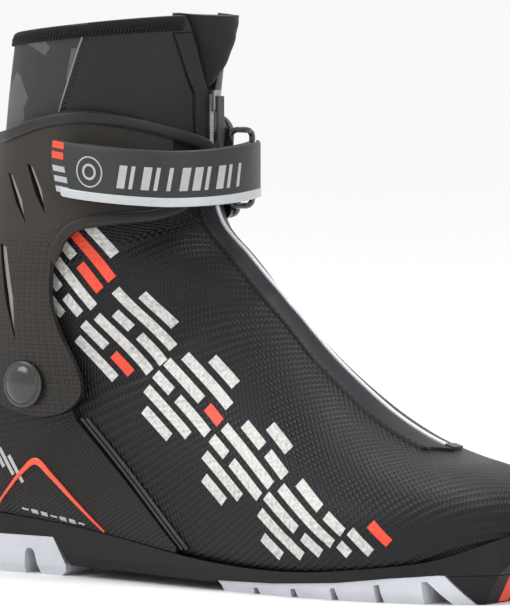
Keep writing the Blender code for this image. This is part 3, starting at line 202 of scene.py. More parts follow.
def finish(name, colour, roughness, change=0.2, scale=40.0, relief=None, pitch=0.002, depth=0.0002,
           grain=0.00003,
           metallic=0.0, coat=0.0, sheen=0.0, specular=0.5):
    """Material of an uneven tone with a fine grain and, where given, a relief that repeats."""
    material = bpy.data.materials.new(name)
    material.use_nodes = True
    tree = material.node_tree
    shader = tree.nodes["Principled BSDF"]
    shader.inputs["Metallic"].default_value = metallic
    shader.inputs["Coat Weight"].default_value = coat
    shader.inputs["Coat Roughness"].default_value = 0.12
    shader.inputs["Sheen Weight"].default_value = sheen
    shader.inputs["Sheen Roughness"].default_value = 0.4
    shader.inputs["Specular IOR Level"].default_value = specular
    tone = add(tree, "Group", node_tree=uneven)
    tone.inputs["Colour"].default_value = (*colour, 1)
    tone.inputs["Change"].default_value = change
    tone.inputs["Scale"].default_value = scale
    tone.inputs["Roughness"].default_value = roughness
    bump = add(tree, "Bump", {"Height": tone.outputs["Grain"], "Distance": grain, "Strength": 1.0})
    if relief:
        lay = add(tree, "UVMap", uv_map="lay")
        pattern = add(tree, "Group", {}, node_tree=relief)
        tree.links.new(lay.outputs["UV"], pattern.inputs["Vector"])
        pattern.inputs["Pitch"].default_value = pitch
        embossed = add(tree, "Bump", {"Height": pattern.outputs["Height"], "Distance": depth, "Strength": 1.0,
                                      "Normal": bump.outputs[0]})
        tree.links.new(embossed.outputs[0], shader.inputs["Normal"])
    else:
        tree.links.new(bump.outputs[0], shader.inputs["Normal"])
    tree.links.new(tone.outputs["Colour"], shader.inputs["Base Color"])
    tree.links.new(tone.outputs["Roughness"], shader.inputs["Roughness"])
    return material


# ---- vamp ---------------------------------------------------------------------------------
# One shaped sheet of black stretch softshell from the toe over the instep to the ankle, embossed
# with fine staggered dots, lasted over the foot form and glued under the board. Stations run from
# the toe round the heel and up the shaft: front x, z, back x, z, outer, inner and ridge y, fullness
# of front and back, and where the section is widest, in millimetres.
STATIONS = np.array([
    (292.8, 29.5, 292.8, 26.5, 2.5, 5.5, 4.0, 2.0, 2.0, 0.50),
    (291.0, 37.5, 290.5, 21.8, -10.0, 17.0, 5.0, 2.0, 2.5, 0.52),
    (286.5, 43.5, 286.0, 18.6, -21.5, 27.0, 6.0, 2.1, 3.2, 0.56),
    (278.0, 49.0, 276.0, 15.6, -32.0, 34.0, 7.0, 2.2, 4.2, 0.60),
    (264.0, 54.0, 260.0, 12.8, -41.5, 39.0, 8.5, 2.2, 5.4, 0.64),
    (248.0, 57.6, 239.0, 10.2, -48.0, 42.5, 9.5, 2.2, 6.4, 0.68),
    (230.0, 63.6, 214.0, 8.4, -50.5, 44.5, 9.5, 2.1, 7.0, 0.72),
    (212.0, 73.0, 190.0, 7.8, -49.5, 45.0, 9.0, 2.0, 7.0, 0.74),
    (195.0, 85.0, 162.0, 8.4, -46.0, 42.5, 8.5, 1.9, 6.4, 0.73),
    (182.0, 95.5, 132.0, 11.0, -42.0, 38.5, 8.0, 1.9, 5.8, 0.71),
    (171.0, 105.5, 101.0, 15.6, -39.0, 36.5, 8.0, 1.8, 5.2, 0.66),
    (164.5, 111.8, 68.0, 20.0, -37.5, 36.0, 8.0, 1.8, 4.6, 0.60),
    (159.5, 116.6, 35.0, 22.2, -37.0, 36.0, 7.5, 1.8, 4.0, 0.55),
    (155.2, 120.8, 9.5, 24.6, -37.0, 36.5, 7.5, 1.8, 3.4, 0.52),
    (150.9, 125.0, 1.0, 50.0, -38.5, 38.5, 7.0, 1.8, 2.8, 0.52),
    (145.9, 129.8, 6.0, 84.0, -40.5, 40.0, 7.0, 1.8, 2.3, 0.52),
    (138.7, 136.8, 10.5, 98.0, -41.0, 40.0, 7.0, 1.8, 2.2, 0.52),
    (124.5, 150.5, 15.0, 111.0, -40.5, 39.5, 7.0, 1.8, 2.2, 0.52),
    (120.0, 168.0, 19.0, 140.0, -39.0, 38.5, 6.5, 1.8, 2.2, 0.52),
    (119.6, 186.0, 23.0, 178.0, -38.0, 38.0, 6.0, 1.8, 2.2, 0.50),
    (120.0, 208.0, 26.5, 204.0, -38.5, 38.5, 6.0, 1.9, 2.2, 0.50),
    (124.0, 238.0, 31.0, 229.0, -40.0, 40.0, 5.0, 2.0, 2.2, 0.50),
])
FOOT_TOP, ANKLE_TOP, COLLAR_TOP = 15, 17, 21     # stations
MIDDLE_X, MIDDLE_Y = 146.99, -2.07               # of the frame, from the heel and the foot's line
SHELL = 1.3 * MM
ZIP_END, ZIP_TOP = 5.55, 19.85                   # stations
ZIP_SLOT, GUARD_FROM, GUARD_TO = 3.2, 3.7, 15.5  # angles


def at(x, y, z):
    return np.stack(np.broadcast_arrays((np.asarray(x) - MIDDLE_X) * MM, (np.asarray(y) - MIDDLE_Y) * MM,
                                        np.asarray(z) * MM), -1)


def curve_through(values, s, last):
    """Smooth values at s through evenly numbered ones."""
    i = np.clip(s.astype(int), 0, last - 1)
    f = (s - i)[..., None]
    p0, p1, p2, p3 = (values[np.clip(i + k, 0, last)] for k in (-1, 0, 1, 2))
    return 0.5 * (2 * p1 + (p2 - p0) * f + (2 * p0 - 5 * p1 + 4 * p2 - p3) * f ** 2
                  + (3 * p1 - p0 - 3 * p2 + p3) * f ** 3)


def on_last(s, a):
    """Point of the foot form at station s and angle a: 0 the ridge, 90 the outer side, 180 the back."""
    s, a = np.broadcast_arrays(np.asarray(s, float), np.asarray(a, float))
    last = len(STATIONS) - 1
    section = curve_through(STATIONS, np.clip(s, 0, last), last)
    fx, fz, bx, bz, outer, inner, ridge, front_full, back_full, wide = np.moveaxis(section, -1, 0)
    c, d = np.cos(np.radians(a)), np.sin(np.radians(a))
    power = 2 / np.where(c >= 0, front_full, back_full)
    along, across = np.abs(c) ** power, np.abs(d) ** power
    t = np.where(c >= 0, wide * (1 - along), wide + (1 - wide) * along)
    middle = np.where(c >= 0, ridge, (outer + inner) / 2)
    y = middle + (np.where(d >= 0, outer, inner) - middle) * across
    return at(fx + (bx - fx) * t, y, fz + (bz - fz) * t)


def normal_at(s, a):
    ds, da = 0.02, 0.6
    normal = np.cross(on_last(s + ds, a) - on_last(s - ds, a), on_last(s, a + da) - on_last(s, a - da))
    return normal / np.maximum(np.linalg.norm(normal, axis=-1, keepdims=True), 1e-12)


def skin(s, a, offset=0.0):
    """Point at a distance outside the foot form."""
    s, a = np.broadcast_arrays(np.asarray(s, float), np.asarray(a, float))
    return on_last(s, a) + normal_at(s, a) * np.broadcast_to(offset, s.shape)[..., None]


def seen_from_side(x, z, inner_side=False):
    """Stations and angles of the form's side places seen at x, z, in millimetres."""
    turn = -1 if inner_side else 1
    x, z = np.atleast_1d(np.asarray(x, float)), np.atleast_1d(np.asarray(z, float))
    want = at(x, 0, z)[:, [0, 2]]
    s, a = np.meshgrid(np.linspace(0.3, 20.9, 240), np.linspace(6, 172, 130), indexing="ij")
    grid = on_last(s, turn * a)[..., [0, 2]].reshape(-1, 2)
    best = np.array([((grid - w) ** 2).sum(-1).argmin() for w in want])
    s, a = s.flat[best], a.flat[best]
    steps, rows, reach_s, reach_a = np.linspace(-1, 1, 5), np.arange(len(want)), 0.1, 1.5
    for _ in range(18):
        near_s = np.clip(s[:, None, None] + reach_s * steps[:, None], 0.05, 20.99)
        near_a = np.clip(a[:, None, None] + reach_a * steps, 1, 179)
        near_s, near_a = (v.reshape(len(want), -1) for v in np.broadcast_arrays(near_s, near_a))
        miss = ((on_last(near_s, turn * near_a)[..., [0, 2]] - want[:, None]) ** 2).sum(-1)
        s, a = near_s[rows, miss.argmin(1)], near_a[rows, miss.argmin(1)]
        reach_s, reach_a = 0.65 * reach_s, 0.65 * reach_a
    return s, turn * a


def slab(top, under, keep=None, closed=False):
    """Vertices, faces and lay coordinates of a solid sheet between two matching grids of points.

    keep says which cells the sheet has, and closed joins the last column to the first.
    """
    rows, cols = top.shape[:2]
    cells = cols if closed else cols - 1
    keep = np.ones((rows - 1, cells), bool) if keep is None else keep
    half = rows * cols
    along = np.concatenate([np.zeros((1, cols)), np.cumsum(np.linalg.norm(np.diff(top, axis=0), axis=2), 0)])
    across = np.concatenate([np.zeros((rows, 1)), np.cumsum(np.linalg.norm(np.diff(top, axis=1), axis=2),
            1)], 1)
    across -= across[:, [cols // 2]]
    lay = np.stack([across, along], -1).reshape(-1, 2)
    faces = []
    for i in range(rows - 1):
        for j in range(cells):
            if not keep[i, j]:
                continue
            n = (j + 1) % cols
            corners = [i * cols + j, (i + 1) * cols + j, (i + 1) * cols + n, i * cols + n]
            faces += [corners, [half + k for k in reversed(corners)]]
            beside = ((i, j - 1), (i + 1, j), (i, j + 1), (i - 1, j))
            for edge, (ni, nj) in enumerate(beside):
                if closed:
                    nj %= cols
                if 0 <= ni < rows - 1 and 0 <= nj < cells and keep[ni, nj]:
                    continue
                one, two = corners[edge], corners[(edge + 1) % 4]
                faces.append([two, one, half + one, half + two])
    return np.concatenate([top.reshape(-1, 3), under.reshape(-1, 3)]), faces, np.concatenate([lay, lay])


def rod(centres, side, out, profile, ends=True):
    """Vertices, faces and lay coordinates of a bar with one cross section along a line.

    profile gives its points as distances to the side and outwards; both may differ along the line.
    """
    profile = np.broadcast_to(profile, (len(centres), *np.shape(profile)[-2:]))
    count = profile.shape[1]
    verts = centres[:, None] + side[:, None] * profile[..., :1] + out[:, None] * profile[..., 1:]
    length = np.concatenate([[0], np.cumsum(np.linalg.norm(np.diff(centres, axis=0), axis=1))])
    girth = np.linalg.norm(np.diff(profile[len(profile) // 2], axis=0,
                                   append=profile[len(profile) // 2][:1]), axis=1)
    girth = np.concatenate([[0], np.cumsum(girth)[:-1]])
    lay = np.stack(np.broadcast_arrays(girth[None], length[:, None]), -1).reshape(-1, 2)
    faces = []
    for i in range(len(centres) - 1):
        for j in range(count):
            n = (j + 1) % count
            faces.append([i * count + j, i * count + n, (i + 1) * count + n, (i + 1) * count + j])
    if ends:
        faces += [list(range(count))[::-1], [len(verts) * count - count + k for k in range(count)]]
    return verts.reshape(-1, 3), faces, lay


def piece(name, solids, material, sharp=40):
    """Object made of one or more solids, smooth where its faces turn less than sharp degrees."""
    verts, faces, lays = [], [], []
    total = 0
    for points, quads, lay in solids:
        faces += [[k + total for k in quad] for quad in quads]
        verts.append(points)
        lays.append(lay)
        total += len(points)
    mesh = bpy.data.meshes.new(name)
    mesh.from_pydata(np.concatenate(verts).tolist(), [], faces)
    mesh.validate()
    lay = np.concatenate(lays)
    corner = np.zeros(len(mesh.loops), int)
    mesh.loops.foreach_get("vertex_index", corner)
    mesh.uv_layers.new(name="lay").data.foreach_set("uv", lay[corner].ravel().astype(np.float32))
    tidy(mesh, sharp)
    obj = bpy.data.objects.new(name, mesh)
    bpy.context.scene.collection.objects.link(obj)
    mesh.materials.append(material)
    return obj


def tidy(mesh, sharp):
    work = bmesh.new()
    work.from_mesh(mesh)
    loose = [v for v in work.verts if not v.link_faces]
    bmesh.ops.delete(work, geom=loose, context='VERTS')
    bmesh.ops.recalc_face_normals(work, faces=work.faces)
    work.to_mesh(mesh)
    work.free()
    mesh.shade_smooth()
    mesh.set_sharp_from_angle(angle=math.radians(sharp))


def bend(obj):
    """The piece's placement is baked into its mesh; it is not bent with the ankle across the band between
    foot and cuff.
    """
    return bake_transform(obj, "foot", "cuff", start=at(75, 0, 107.2), end=at(67.5, 0, 129.0))


def foot_edge(s):
    return np.interp(s, [0, 11.0, 12.6, 13.2], [150, 152, 170, 179.5])


softshell = finish("black_softshell", (0.0075, 0.0075, 0.0095), 0.4, 0.4, 26.0, dots, 0.0023, 0.0003, 0.00002,
                   specular=0.2)

s = np.linspace(0.2, ANKLE_TOP - 0.03, 190)
v = np.linspace(0, 1, 84)
a = np.concatenate([-foot_edge(s)[:, None] + (foot_edge(s)[:, None] - ZIP_SLOT) * v,
                    ZIP_SLOT + (foot_edge(s)[:, None] - ZIP_SLOT) * v], 1)
s = np.repeat(s[:, None], a.shape[1], 1)
keep = np.ones((len(s) - 1, a.shape[1] - 1), bool)
keep[s[1:, 0] > ZIP_END, len(v) - 1] = False
vamp = piece("vamp", [slab(skin(s, a), skin(s, a, -SHELL), keep)], softshell)
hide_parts("upper", "ankle_flex")
bend(vamp)


# ---- printed bars -------------------------------------------------------------------------
# Screen printed bars of silver glitter ink and red-orange ink run forward and down the outer
# side of the vamp in five staggered clusters. The ink is a raised film on the softshell.
INK = 0.22 * MM
BAR = 4.1                      # width in millimetres
SPREAD = 1.12                  # of the bars in a cluster
silver_ink = finish("silver_ink", (0.46, 0.45, 0.43), 0.45, 0.8, 700.0, dots, 0.0023, 0.0001, 0.00008,
                    metallic=0.25)
orange_ink = finish("orange_ink", (0.66, 0.045, 0.014), 0.45, 0.15, 200.0, dots, 0.0023, 0.0001)


PRINT_FLOOR = [(120, 19.0), (143, 16.5), (168, 15.0), (190, 14.5), (211, 15.0), (232, 17.0), (252, 20.0)]


def printed_bar(x, z, angle, across, start, stop, width=BAR):
    """Raised ink bar on the outer side, drawn in side view from a cluster's centre.

    It stops where it would run under the sole's rim.
    """
    along = np.array([math.cos(math.radians(angle)), -math.sin(math.radians(angle))])
    beside = np.array([-along[1], along[0]])
    n = max(4, int((stop - start) / 1.6))
    length, breadth = np.meshgrid(np.linspace(start, stop, n), np.linspace(-width / 2, width / 2, 4),
                                  indexing="ij")
    seen = np.array([x, z]) + along * length[..., None] + beside * (across + breadth[..., None])
    clear = (seen[..., 1] > np.interp(seen[..., 0], *np.array(PRINT_FLOOR).T)).all(1)
    seen = seen[:n if clear.all() else clear.argmin()]
    if len(seen) < 4:
        return []
    s, a = (found.reshape(seen.shape[:2]) for found in seen_from_side(seen[..., 0].ravel(),
            seen[..., 1].ravel()))
    return [slab(skin(s, a, INK), skin(s, a, -0.3 * MM))]


CLUSTERS = (
    (82.0, 125.0, 46, ((-12.0, -9, 5, 0), (-6.2, -17, -3, 0), (-6.2, 1, 10, 0), (-0.2, -20, 12, 0),
                       (5.8, -22, -8, 0),
                       (5.8, -4, 9, 1), (11.6, -22, 9, 1), (17.4, -15, 2, 0))),
    (102.0, 102.0, 45, ((-12.2, -12, 9, 0), (-6.2, -14, -2, 0), (-6.2, 2, 12, 1), (-0.2, -12, 17, 0),
                        (5.8, -8, 0, 0), (5.8, 4, 18, 0), (11.8, -14, 16, 0), (17.6, -6, 10, 0))),
    (133.0, 77.5, 38, ((-13.0, -10, 6, 0), (-7.0, -15, 12, 0), (-1.0, -16, -6, 0), (-1.0, -2, 18, 0),
                       (5.0, -16, 6, 0), (5.0, 10, 19, 1), (11.0, -12, 17, 0), (17.0, -3, 12, 0))),
    (168.5, 52.5, 36, ((-14.0, -10, 4, 0), (-8.0, -16, 9, 0), (-2.0, -18, -8, 0), (-2.0, -4, 16, 0),
                       (4.0, -17, 17, 0), (10.0, -11, 2, 0), (10.0, 6, 19, 0), (16.0, -2, 12, 0))),
    (201.5, 31.0, 35, ((-13.0, -8, 5, 0), (-7.0, -15, 11, 0), (-1.0, -17, 3, 0), (-1.0, 7, 17, 0),
                       (5.0, -14, 19, 0), (11.0, -9, 6, 0), (11.0, 10, 20, 0))),
    (233.0, 22.0, 42, ((-3.5, -6, 5, 0), (3.0, -6, 7, 0), (10.5, -2, 8, 1))),
)
for ink, name, which, material_slot in ((silver_ink, "printed_bars_silver", 0, "black_softshell"),
                                        (orange_ink, "printed_bars_orange", 1, "orange_plastic")):
    bars = [film for x, z, angle, row in CLUSTERS for bar in row if bar[3] == which
            for film in printed_bar(x, z, angle, *(SPREAD * v for v in bar[:3]))]
    film = piece(name, bars, ink, 60)
    bend(film)


# ---- zip ----------------------------------------------------------------------------------
# A coated coil zip runs from the toe box up the instep to the collar, on a woven tape behind the
# slot. A folded strip of softshell, stitched down its outer edge, guards it.
# the coil's pale grey colour is a painted highlight, standing in for the shine along the glossy coil; its
# coat adds real gloss on top
coil_painted_highlight = finish("zip_coil", (0.62, 0.64, 0.68), 0.16, 0.1, 300.0, coat=0.4)
tape_cloth = finish("zip_tape", (0.012, 0.012, 0.013), 0.7, 0.2, 200.0, weave, 0.0012, 0.00015)
guard_cloth = finish("guard_softshell", (0.010, 0.010, 0.012), 0.42, 0.3, 60.0, specular=0.2)
thread = finish("black_thread", (0.008, 0.008, 0.009), 0.5, 0.2, 500.0)


def sections(path, out):
    """Unit side vectors along a path, square to it and to the outward ones."""
    side = np.cross(np.gradient(path, axis=0), out)
    return side / np.linalg.norm(side, axis=1)[:, None]


def oval(width, height, count=10, square=2.0):
    t = np.linspace(0, 2 * math.pi, count, endpoint=False)
    c, d = np.cos(t), np.sin(t)
    return np.stack([np.sign(c) * np.abs(c) ** (2 / square) * width,
                     np.sign(d) * np.abs(d) ** (2 / square) * height], -1)


def evenly(path, step, *others):
    """The path resampled at an even step, with any other rows of values along it."""
    length = np.concatenate([[0], np.cumsum(np.linalg.norm(np.diff(path, axis=0), axis=1))])
    where = np.arange(0, length[-1], step)
    return [np.stack([np.interp(where, length, rows[:, k]) for k in range(rows.shape[1])], -1)
            for rows in (path, *others)]


s = np.linspace(ZIP_END + 0.05, ZIP_TOP, 500)
path, out = evenly(skin(s, 0 * s, -0.1 * MM), 0.3 * MM, normal_at(s, 0 * s))
ripple = 1 + 0.13 * np.sin(np.arange(len(path)) * math.pi / 2)
profile = oval(1.0 * MM, 0.95 * MM, 12)[None] * ripple[:, None, None]
coil = piece("zip_coil", [rod(path, sections(path, out), out, profile)], coil_painted_highlight, 80)
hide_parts("zip_coil_lower", "zip_coil_upper")
bend(coil)

s, a = np.meshgrid(np.linspace(ZIP_END - 0.3, ZIP_TOP, 150), np.linspace(-7.2, 7.2, 7), indexing="ij")
tape = piece("zip_tape", [slab(skin(s, a, -2.1 * MM), skin(s, a, -2.75 * MM))], tape_cloth)
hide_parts("zip_tape_lower", "zip_tape_upper")
bend(tape)


def fold_height(v, low, high, edge=0.12):
    """Height of a folded strip across its width, falling off at both edges."""
    near = np.minimum(v, 1 - v) / edge
    return low + (high - low) * np.sqrt(np.clip(1 - (1 - np.clip(near, 0, 1)) ** 2, 0, 1))


def guard_edge(s):
    """Angle of the guard's edge beside the coil, and beside the open collar above it."""
    return np.interp(s, [0, ZIP_TOP, COLLAR_TOP], [GUARD_FROM, GUARD_FROM, 24.4])


s = np.linspace(ZIP_END - 0.3, COLLAR_TOP - 0.32, 240)
v = np.linspace(0, 1, 15)
near = guard_edge(s)
reach = np.minimum(GUARD_TO - GUARD_FROM, (s - s[0]) * 30)
a = near[:, None] + reach[:, None] * v
s2 = np.repeat(s[:, None], len(v), 1)
guard = piece("zip_guard", [slab(skin(s2, a, fold_height(v, 0.15 * MM, 1.15 * MM)), skin(s2, a, 0.05 * MM))],
              guard_cloth)
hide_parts("zip_guard_lower", "zip_guard_upper")
bend(guard)


def stitches(path, out, length=2.3 * MM, gap=1.1 * MM, radius=0.24 * MM, lift=0.0):
    """Sewn stitches along a line: short threads that dive into the cloth at both ends."""
    side = sections(path, out)
    path, out, side = evenly(path, (length + gap) / 8, out, side)
    made = []
    span = int(round(length / (length + gap) * 8))
    for start in range(0, len(path) - span, 8):
        run = slice(start, start + span + 1)
        arch = np.sin(np.linspace(0, math.pi, span + 1)) ** 0.5
        centre = path[run] + out[run] * (lift - 0.28 * MM + 0.42 * MM * arch)[:, None]
        made.append(rod(centre, side[run], out[run], oval(radius, radius, 6)))
    return made


s = np.linspace(ZIP_END - 0.1, COLLAR_TOP - 0.35, 560)
edge = guard_edge(s) + GUARD_TO - GUARD_FROM - 1.6
seam = piece("guard_stitches", stitches(skin(s, edge, 1.15 * MM), normal_at(s, edge)), thread, 60)
bend(seam)


# ---- collar -------------------------------------------------------------------------------
# Two smooth softshell sides and a printed back panel, cut on a slant and joined with a flat seam,
# stand up round the ankle. Woven elastic binds the top edge with a zigzag seam.
def slot_from(s):
    return np.interp(s, [0, ZIP_TOP, COLLAR_TOP], [ZIP_SLOT, ZIP_SLOT, 24.0])


def seam_angle(s):
    return np.interp(s, [ANKLE_TOP, 19.4, COLLAR_TOP], [104, 92, 76])


collar_cloth = finish("grey_softshell", (0.013, 0.013, 0.014), 0.38, 0.6, 11.0, grain=0.00002, specular=0.2)
mottled = finish("mottled_panel", (0.05, 0.046, 0.045), 0.65, 0.2, 200.0, weave, 0.0011, 0.00008)
tree = mottled.node_tree
where = add(tree, "TexCoord")
patch = add(tree, "TexVoronoi", {"Vector": where.outputs["Object"], "Scale": 62.0, "Randomness": 0.85})
patch_tone = add(tree, "SeparateColor", {"Color": patch.outputs["Color"]})
print_mask = add(tree, "Math", {0: patch_tone.outputs[0], 1: 0.5}, operation='GREATER_THAN')
tone = [n for n in tree.nodes if n.type == 'GROUP' and n.node_tree == uneven][0]
printed = add(tree, "Mix", {"Factor": print_mask.outputs[0], 6: (0.012, 0.009, 0.009, 1),
                            7: (0.06, 0.06, 0.062, 1)},
              data_type='RGBA')
tree.links.new(printed.outputs[2], tone.inputs["Colour"])

rows = np.linspace(ANKLE_TOP - 0.12, COLLAR_TOP - 0.02, 60)
for name, low, high, cols, cloth_used, slot_used in (
        ("collar_outer", slot_from, lambda s: seam_angle(s) - 0.3, 40, collar_cloth, "grey_softshell"),
        ("collar_inner", lambda s: 0.3 - seam_angle(s), lambda s: -slot_from(s), 40, collar_cloth,
         "grey_softshell"),
        ("collar_back", seam_angle, lambda s: 360 - seam_angle(s), 70, mottled, "mottled_fabric")):
    a = low(rows)[:, None] + (high(rows) - low(rows))[:, None] * np.linspace(0, 1, cols)
    s = np.repeat(rows[:, None], cols, 1)
    panel = piece(name + "_panel", [slab(skin(s, a, 0.02 * MM), skin(s, a, -SHELL + 0.06 * MM))], cloth_used)
    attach(panel, "cuff")
    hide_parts(name)

s, v = np.meshgrid(np.linspace(ANKLE_TOP - 0.06, ANKLE_TOP + 1.25, 24), np.linspace(0, 1, 50), indexing="ij")
laps = []
for side in (1, -1):
    a = 15.7 + 30 * np.clip((s - ANKLE_TOP - 0.1) / 1.2, 0, 1) + (70 - 10 * np.clip(s - ANKLE_TOP, 0, 1)) * v
    laps.append(slab(skin(s, side * a, 0.13 * MM), skin(s, side * a, -0.5 * MM)))
yoke = piece("vamp_yoke", laps, softshell)
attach(yoke, "cuff")

sewn = []
for side in (1, -1):
    s = np.linspace(ANKLE_TOP + 0.2, COLLAR_TOP - 0.25, 300)
    for shift, lift in ((-1.9, 0.12 * MM), (-3.1, 0.12 * MM)):
        edge = side * (seam_angle(s) + shift)
        sewn += stitches(skin(s, edge, lift), normal_at(s, edge), 1.7 * MM, 0.9 * MM, 0.27 * MM)
    edge = np.linspace(ANKLE_TOP + 0.1, ANKLE_TOP + 1.2, 300)
    a = side * (17 + 30 * (edge - ANKLE_TOP - 0.1) / 1.2)
    sewn += stitches(skin(edge, a, 0.13 * MM), normal_at(edge, a), 2.0 * MM, 1.2 * MM, 0.25 * MM)
seams = piece("collar_stitches", sewn, thread, 60)
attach(seams, "cuff")

piping_cloth = finish("seam_piping", (0.16, 0.16, 0.16), 0.4, 0.1, 200.0)
piping = []
for side in (1, -1):
    s = np.linspace(ANKLE_TOP + 0.1, COLLAR_TOP - 0.2, 90)
    edge = side * (seam_angle(s) - 0.1)
    path, out = skin(s, edge, 0.15 * MM), normal_at(s, edge)
    piping.append(rod(path, sections(path, out), out, oval(0.42 * MM, 0.3 * MM, 8)))
piping = piece("seam_piping", piping, piping_cloth, 80)
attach(piping, "cuff")

elastic = finish("black_elastic", (0.007, 0.006, 0.007), 0.75, 0.3, 150.0, weave, 0.0014, 0.00028,
                 specular=0.2)
BIND_FROM, BIND_TO = 24.5, 335.5
a = np.linspace(BIND_FROM, BIND_TO, 220)
s = np.full(len(a), COLLAR_TOP - 0.2)
centre, out = skin(s, a, -1.0 * MM), normal_at(s, a)
up = on_last(s + 0.05, a) - on_last(s - 0.05, a)
up /= np.linalg.norm(up, axis=1)[:, None]
binding = piece("collar_binding", [rod(centre + up * 0.3 * MM, up, out, oval(2.9 * MM, 2.1 * MM, 16, 3.2))],
                elastic, 60)
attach(binding, "cuff")
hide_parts("collar_binding")
turns = np.arange(0, 330)
zig_a = np.interp(turns, [0, 329], [BIND_FROM + 1, BIND_TO - 1])
zig_s = np.full(len(turns), COLLAR_TOP - 0.2)
zig = skin(zig_s, zig_a, 1.15 * MM)
zig_up = on_last(zig_s + 0.05, zig_a) - on_last(zig_s - 0.05, zig_a)
zig_up /= np.linalg.norm(zig_up, axis=1)[:, None]
zig = zig + zig_up * (np.where(turns % 2, -2.2, 0.6) * MM)[:, None]
zig_out = normal_at(zig_s, zig_a)
zigzag = piece("binding_zigzag", [rod(zig, sections(zig, zig_out), zig_out, oval(0.26 * MM, 0.22 * MM, 6))],
               thread, 80)
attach(zigzag, "cuff")


# ---- gusset and lining --------------------------------------------------------------------
# A tongue of brushed stretch fleece swells forward out of the open collar above the zip. The
# lining is padded textile, bound in at the collar's top.
fleece = finish("brown_fleece", (0.012, 0.010, 0.0085), 0.7, 0.5, 60.0, grain=0.00012, specular=0.25,
                sheen=0.05)
u, v = np.meshgrid(np.linspace(0, 1, 50), np.linspace(0, 1, 50), indexing="ij")
s = 19.93 + (COLLAR_TOP - 19.93) * u
a = (7.0 + 23.0 * np.sin(u * math.pi / 2) ** 0.7) * (1 - 2 * v) - 2.0
free = np.clip(1 - np.abs(a + 1) / (slot_from(s) + 0.5), 0, 1)
swell = np.sin(np.clip(u * 1.5, 0, 1) * math.pi / 2) * np.sin(free * math.pi / 2) ** 0.7
crease = 0.35 * MM * np.sin(u * 19 + 3 * v) * np.sin(v * 11 + u * 4) * swell
top = skin(s, a, -2.6 * MM + swell * 10.4 * MM + crease)
gusset = piece("fleece_gusset", [slab(top, skin(s, a, -5.6 * MM + swell * 9.0 * MM))], fleece, 70)
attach(gusset, "cuff")
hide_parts("front_gusset")

lining_cloth = finish("padded_lining", (0.03, 0.03, 0.033), 0.9, 0.4, 90.0, dots, 0.004, 0.0006, sheen=0.3)


def lining_edge(s):
    return np.interp(s, [ANKLE_TOP, 19.2, COLLAR_TOP], [9, 12, 34])


rows = np.linspace(ANKLE_TOP + 0.1, COLLAR_TOP - 0.08, 50)
a = lining_edge(rows)[:, None] + (358 - 2 * lining_edge(rows))[:, None] * np.linspace(0, 1, 110)
s = np.repeat(rows[:, None], 110, 1)
thin = 2.6 * MM * np.clip((s - 20.5) / 0.5, 0, 1) ** 2
lining = piece("shaft_lining", [slab(skin(s, a, -1.8 * MM), skin(s, a, -6.4 * MM + thin))], lining_cloth)
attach(lining, "cuff")
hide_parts("liner_shaft")
s, a = np.meshgrid(np.linspace(FOOT_TOP - 0.05, ANKLE_TOP + 0.1, 16),
                   np.linspace(0, 360, 100, endpoint=False),
                   indexing="ij")
ankle_lining = piece("ankle_lining", [slab(skin(s, a, -3.0 * MM), skin(s, a, -6.2 * MM), closed=True)],
                     lining_cloth)
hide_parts("liner_flex")
bend(ankle_lining)


# ---- heel counter -------------------------------------------------------------------------
# A stiff moulding cups the heel up to the cuff. Its mesh relief stops at a twin rib that runs
# down to the sole, and an inverted V of orange trim frames a plain fairing on each side.
COUNTER_OUT = 2.7 * MM
counter_plastic = finish("counter_plastic", (0.012, 0.0105, 0.0095), 0.42, 0.4, 26.0, dots, 0.0019, 0.0004,
                         specular=0.2)
rib_plastic = finish("rib_plastic", (0.009, 0.0085, 0.008), 0.3, 0.2, 100.0)
trim_orange = finish("orange_trim", (0.66, 0.055, 0.016), 0.35, 0.15, 80.0, coat=0.3)
pale_print = finish("pale_print", (0.36, 0.36, 0.35), 0.5, 0.2, 200.0)


def line_through(points, per_span=4):
    points = np.array(points, float)
    last = len(points) - 1
    return curve_through(points, np.linspace(0, last, last * per_span + 1), last)


def side_cutter(name, outline):
    """Prism of a side-view outline in millimetres, right across the boot."""
    near, far = at(outline[:, 0], -88, outline[:, 1]), at(outline[:, 0], 92, outline[:, 1])
    count = len(outline)
    faces = [list(range(count)), list(range(2 * count - 1, count - 1, -1))]
    faces += [[k, (k + 1) % count, (k + 1) % count + count, k + count] for k in range(count)]
    mesh = bpy.data.meshes.new(name)
    mesh.from_pydata(np.concatenate([near, far]).tolist(), [], faces)
    tidy(mesh, 30)
    cutter = bpy.data.objects.new(name, mesh)
    bpy.context.scene.collection.objects.link(cutter)
    return cutter


def cut_to(obj, operation, cutters, sharp=40):
    """The object cut by each cutter in turn; the cutters are removed."""
    for cutter in cutters:
        cut = obj.modifiers.new("cut", 'BOOLEAN')
        cut.operation, cut.solver, cut.object = operation, 'EXACT', cutter
    bpy.context.view_layer.update()
    ready = obj.evaluated_get(bpy.context.evaluated_depsgraph_get())
    mesh = bpy.data.meshes.new_from_object(ready)
    obj.modifiers.clear()
    obj.data = mesh
    tidy(mesh, sharp)
    for cutter in cutters:
        bpy.data.objects.remove(cutter)
    return obj


rim = line_through([(-12, 33.0), (3, 31.0), (16, 27.6), (36, 25.2), (74, 22.0), (108, 17.8), (137, 14.0)], 3)
outline = np.concatenate([rim + (0, 0.6), [(138.0, 17.0)],
                          [(82.5, 67.0), (76, 82), (66, 96), (48, 102), (24, 99), (-12, 94)]])
s, a = np.meshgrid(np.linspace(7.6, 16.4, 90), np.linspace(82, 278, 120), indexing="ij")
counter = piece("heel_counter_moulding", [slab(skin(s, a, COUNTER_OUT), skin(s, a, 0.5 * MM))],
                counter_plastic)
cut_to(counter, 'INTERSECT', [side_cutter("counter_outline", outline)])
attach(counter, "foot")
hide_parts("heel_counter")


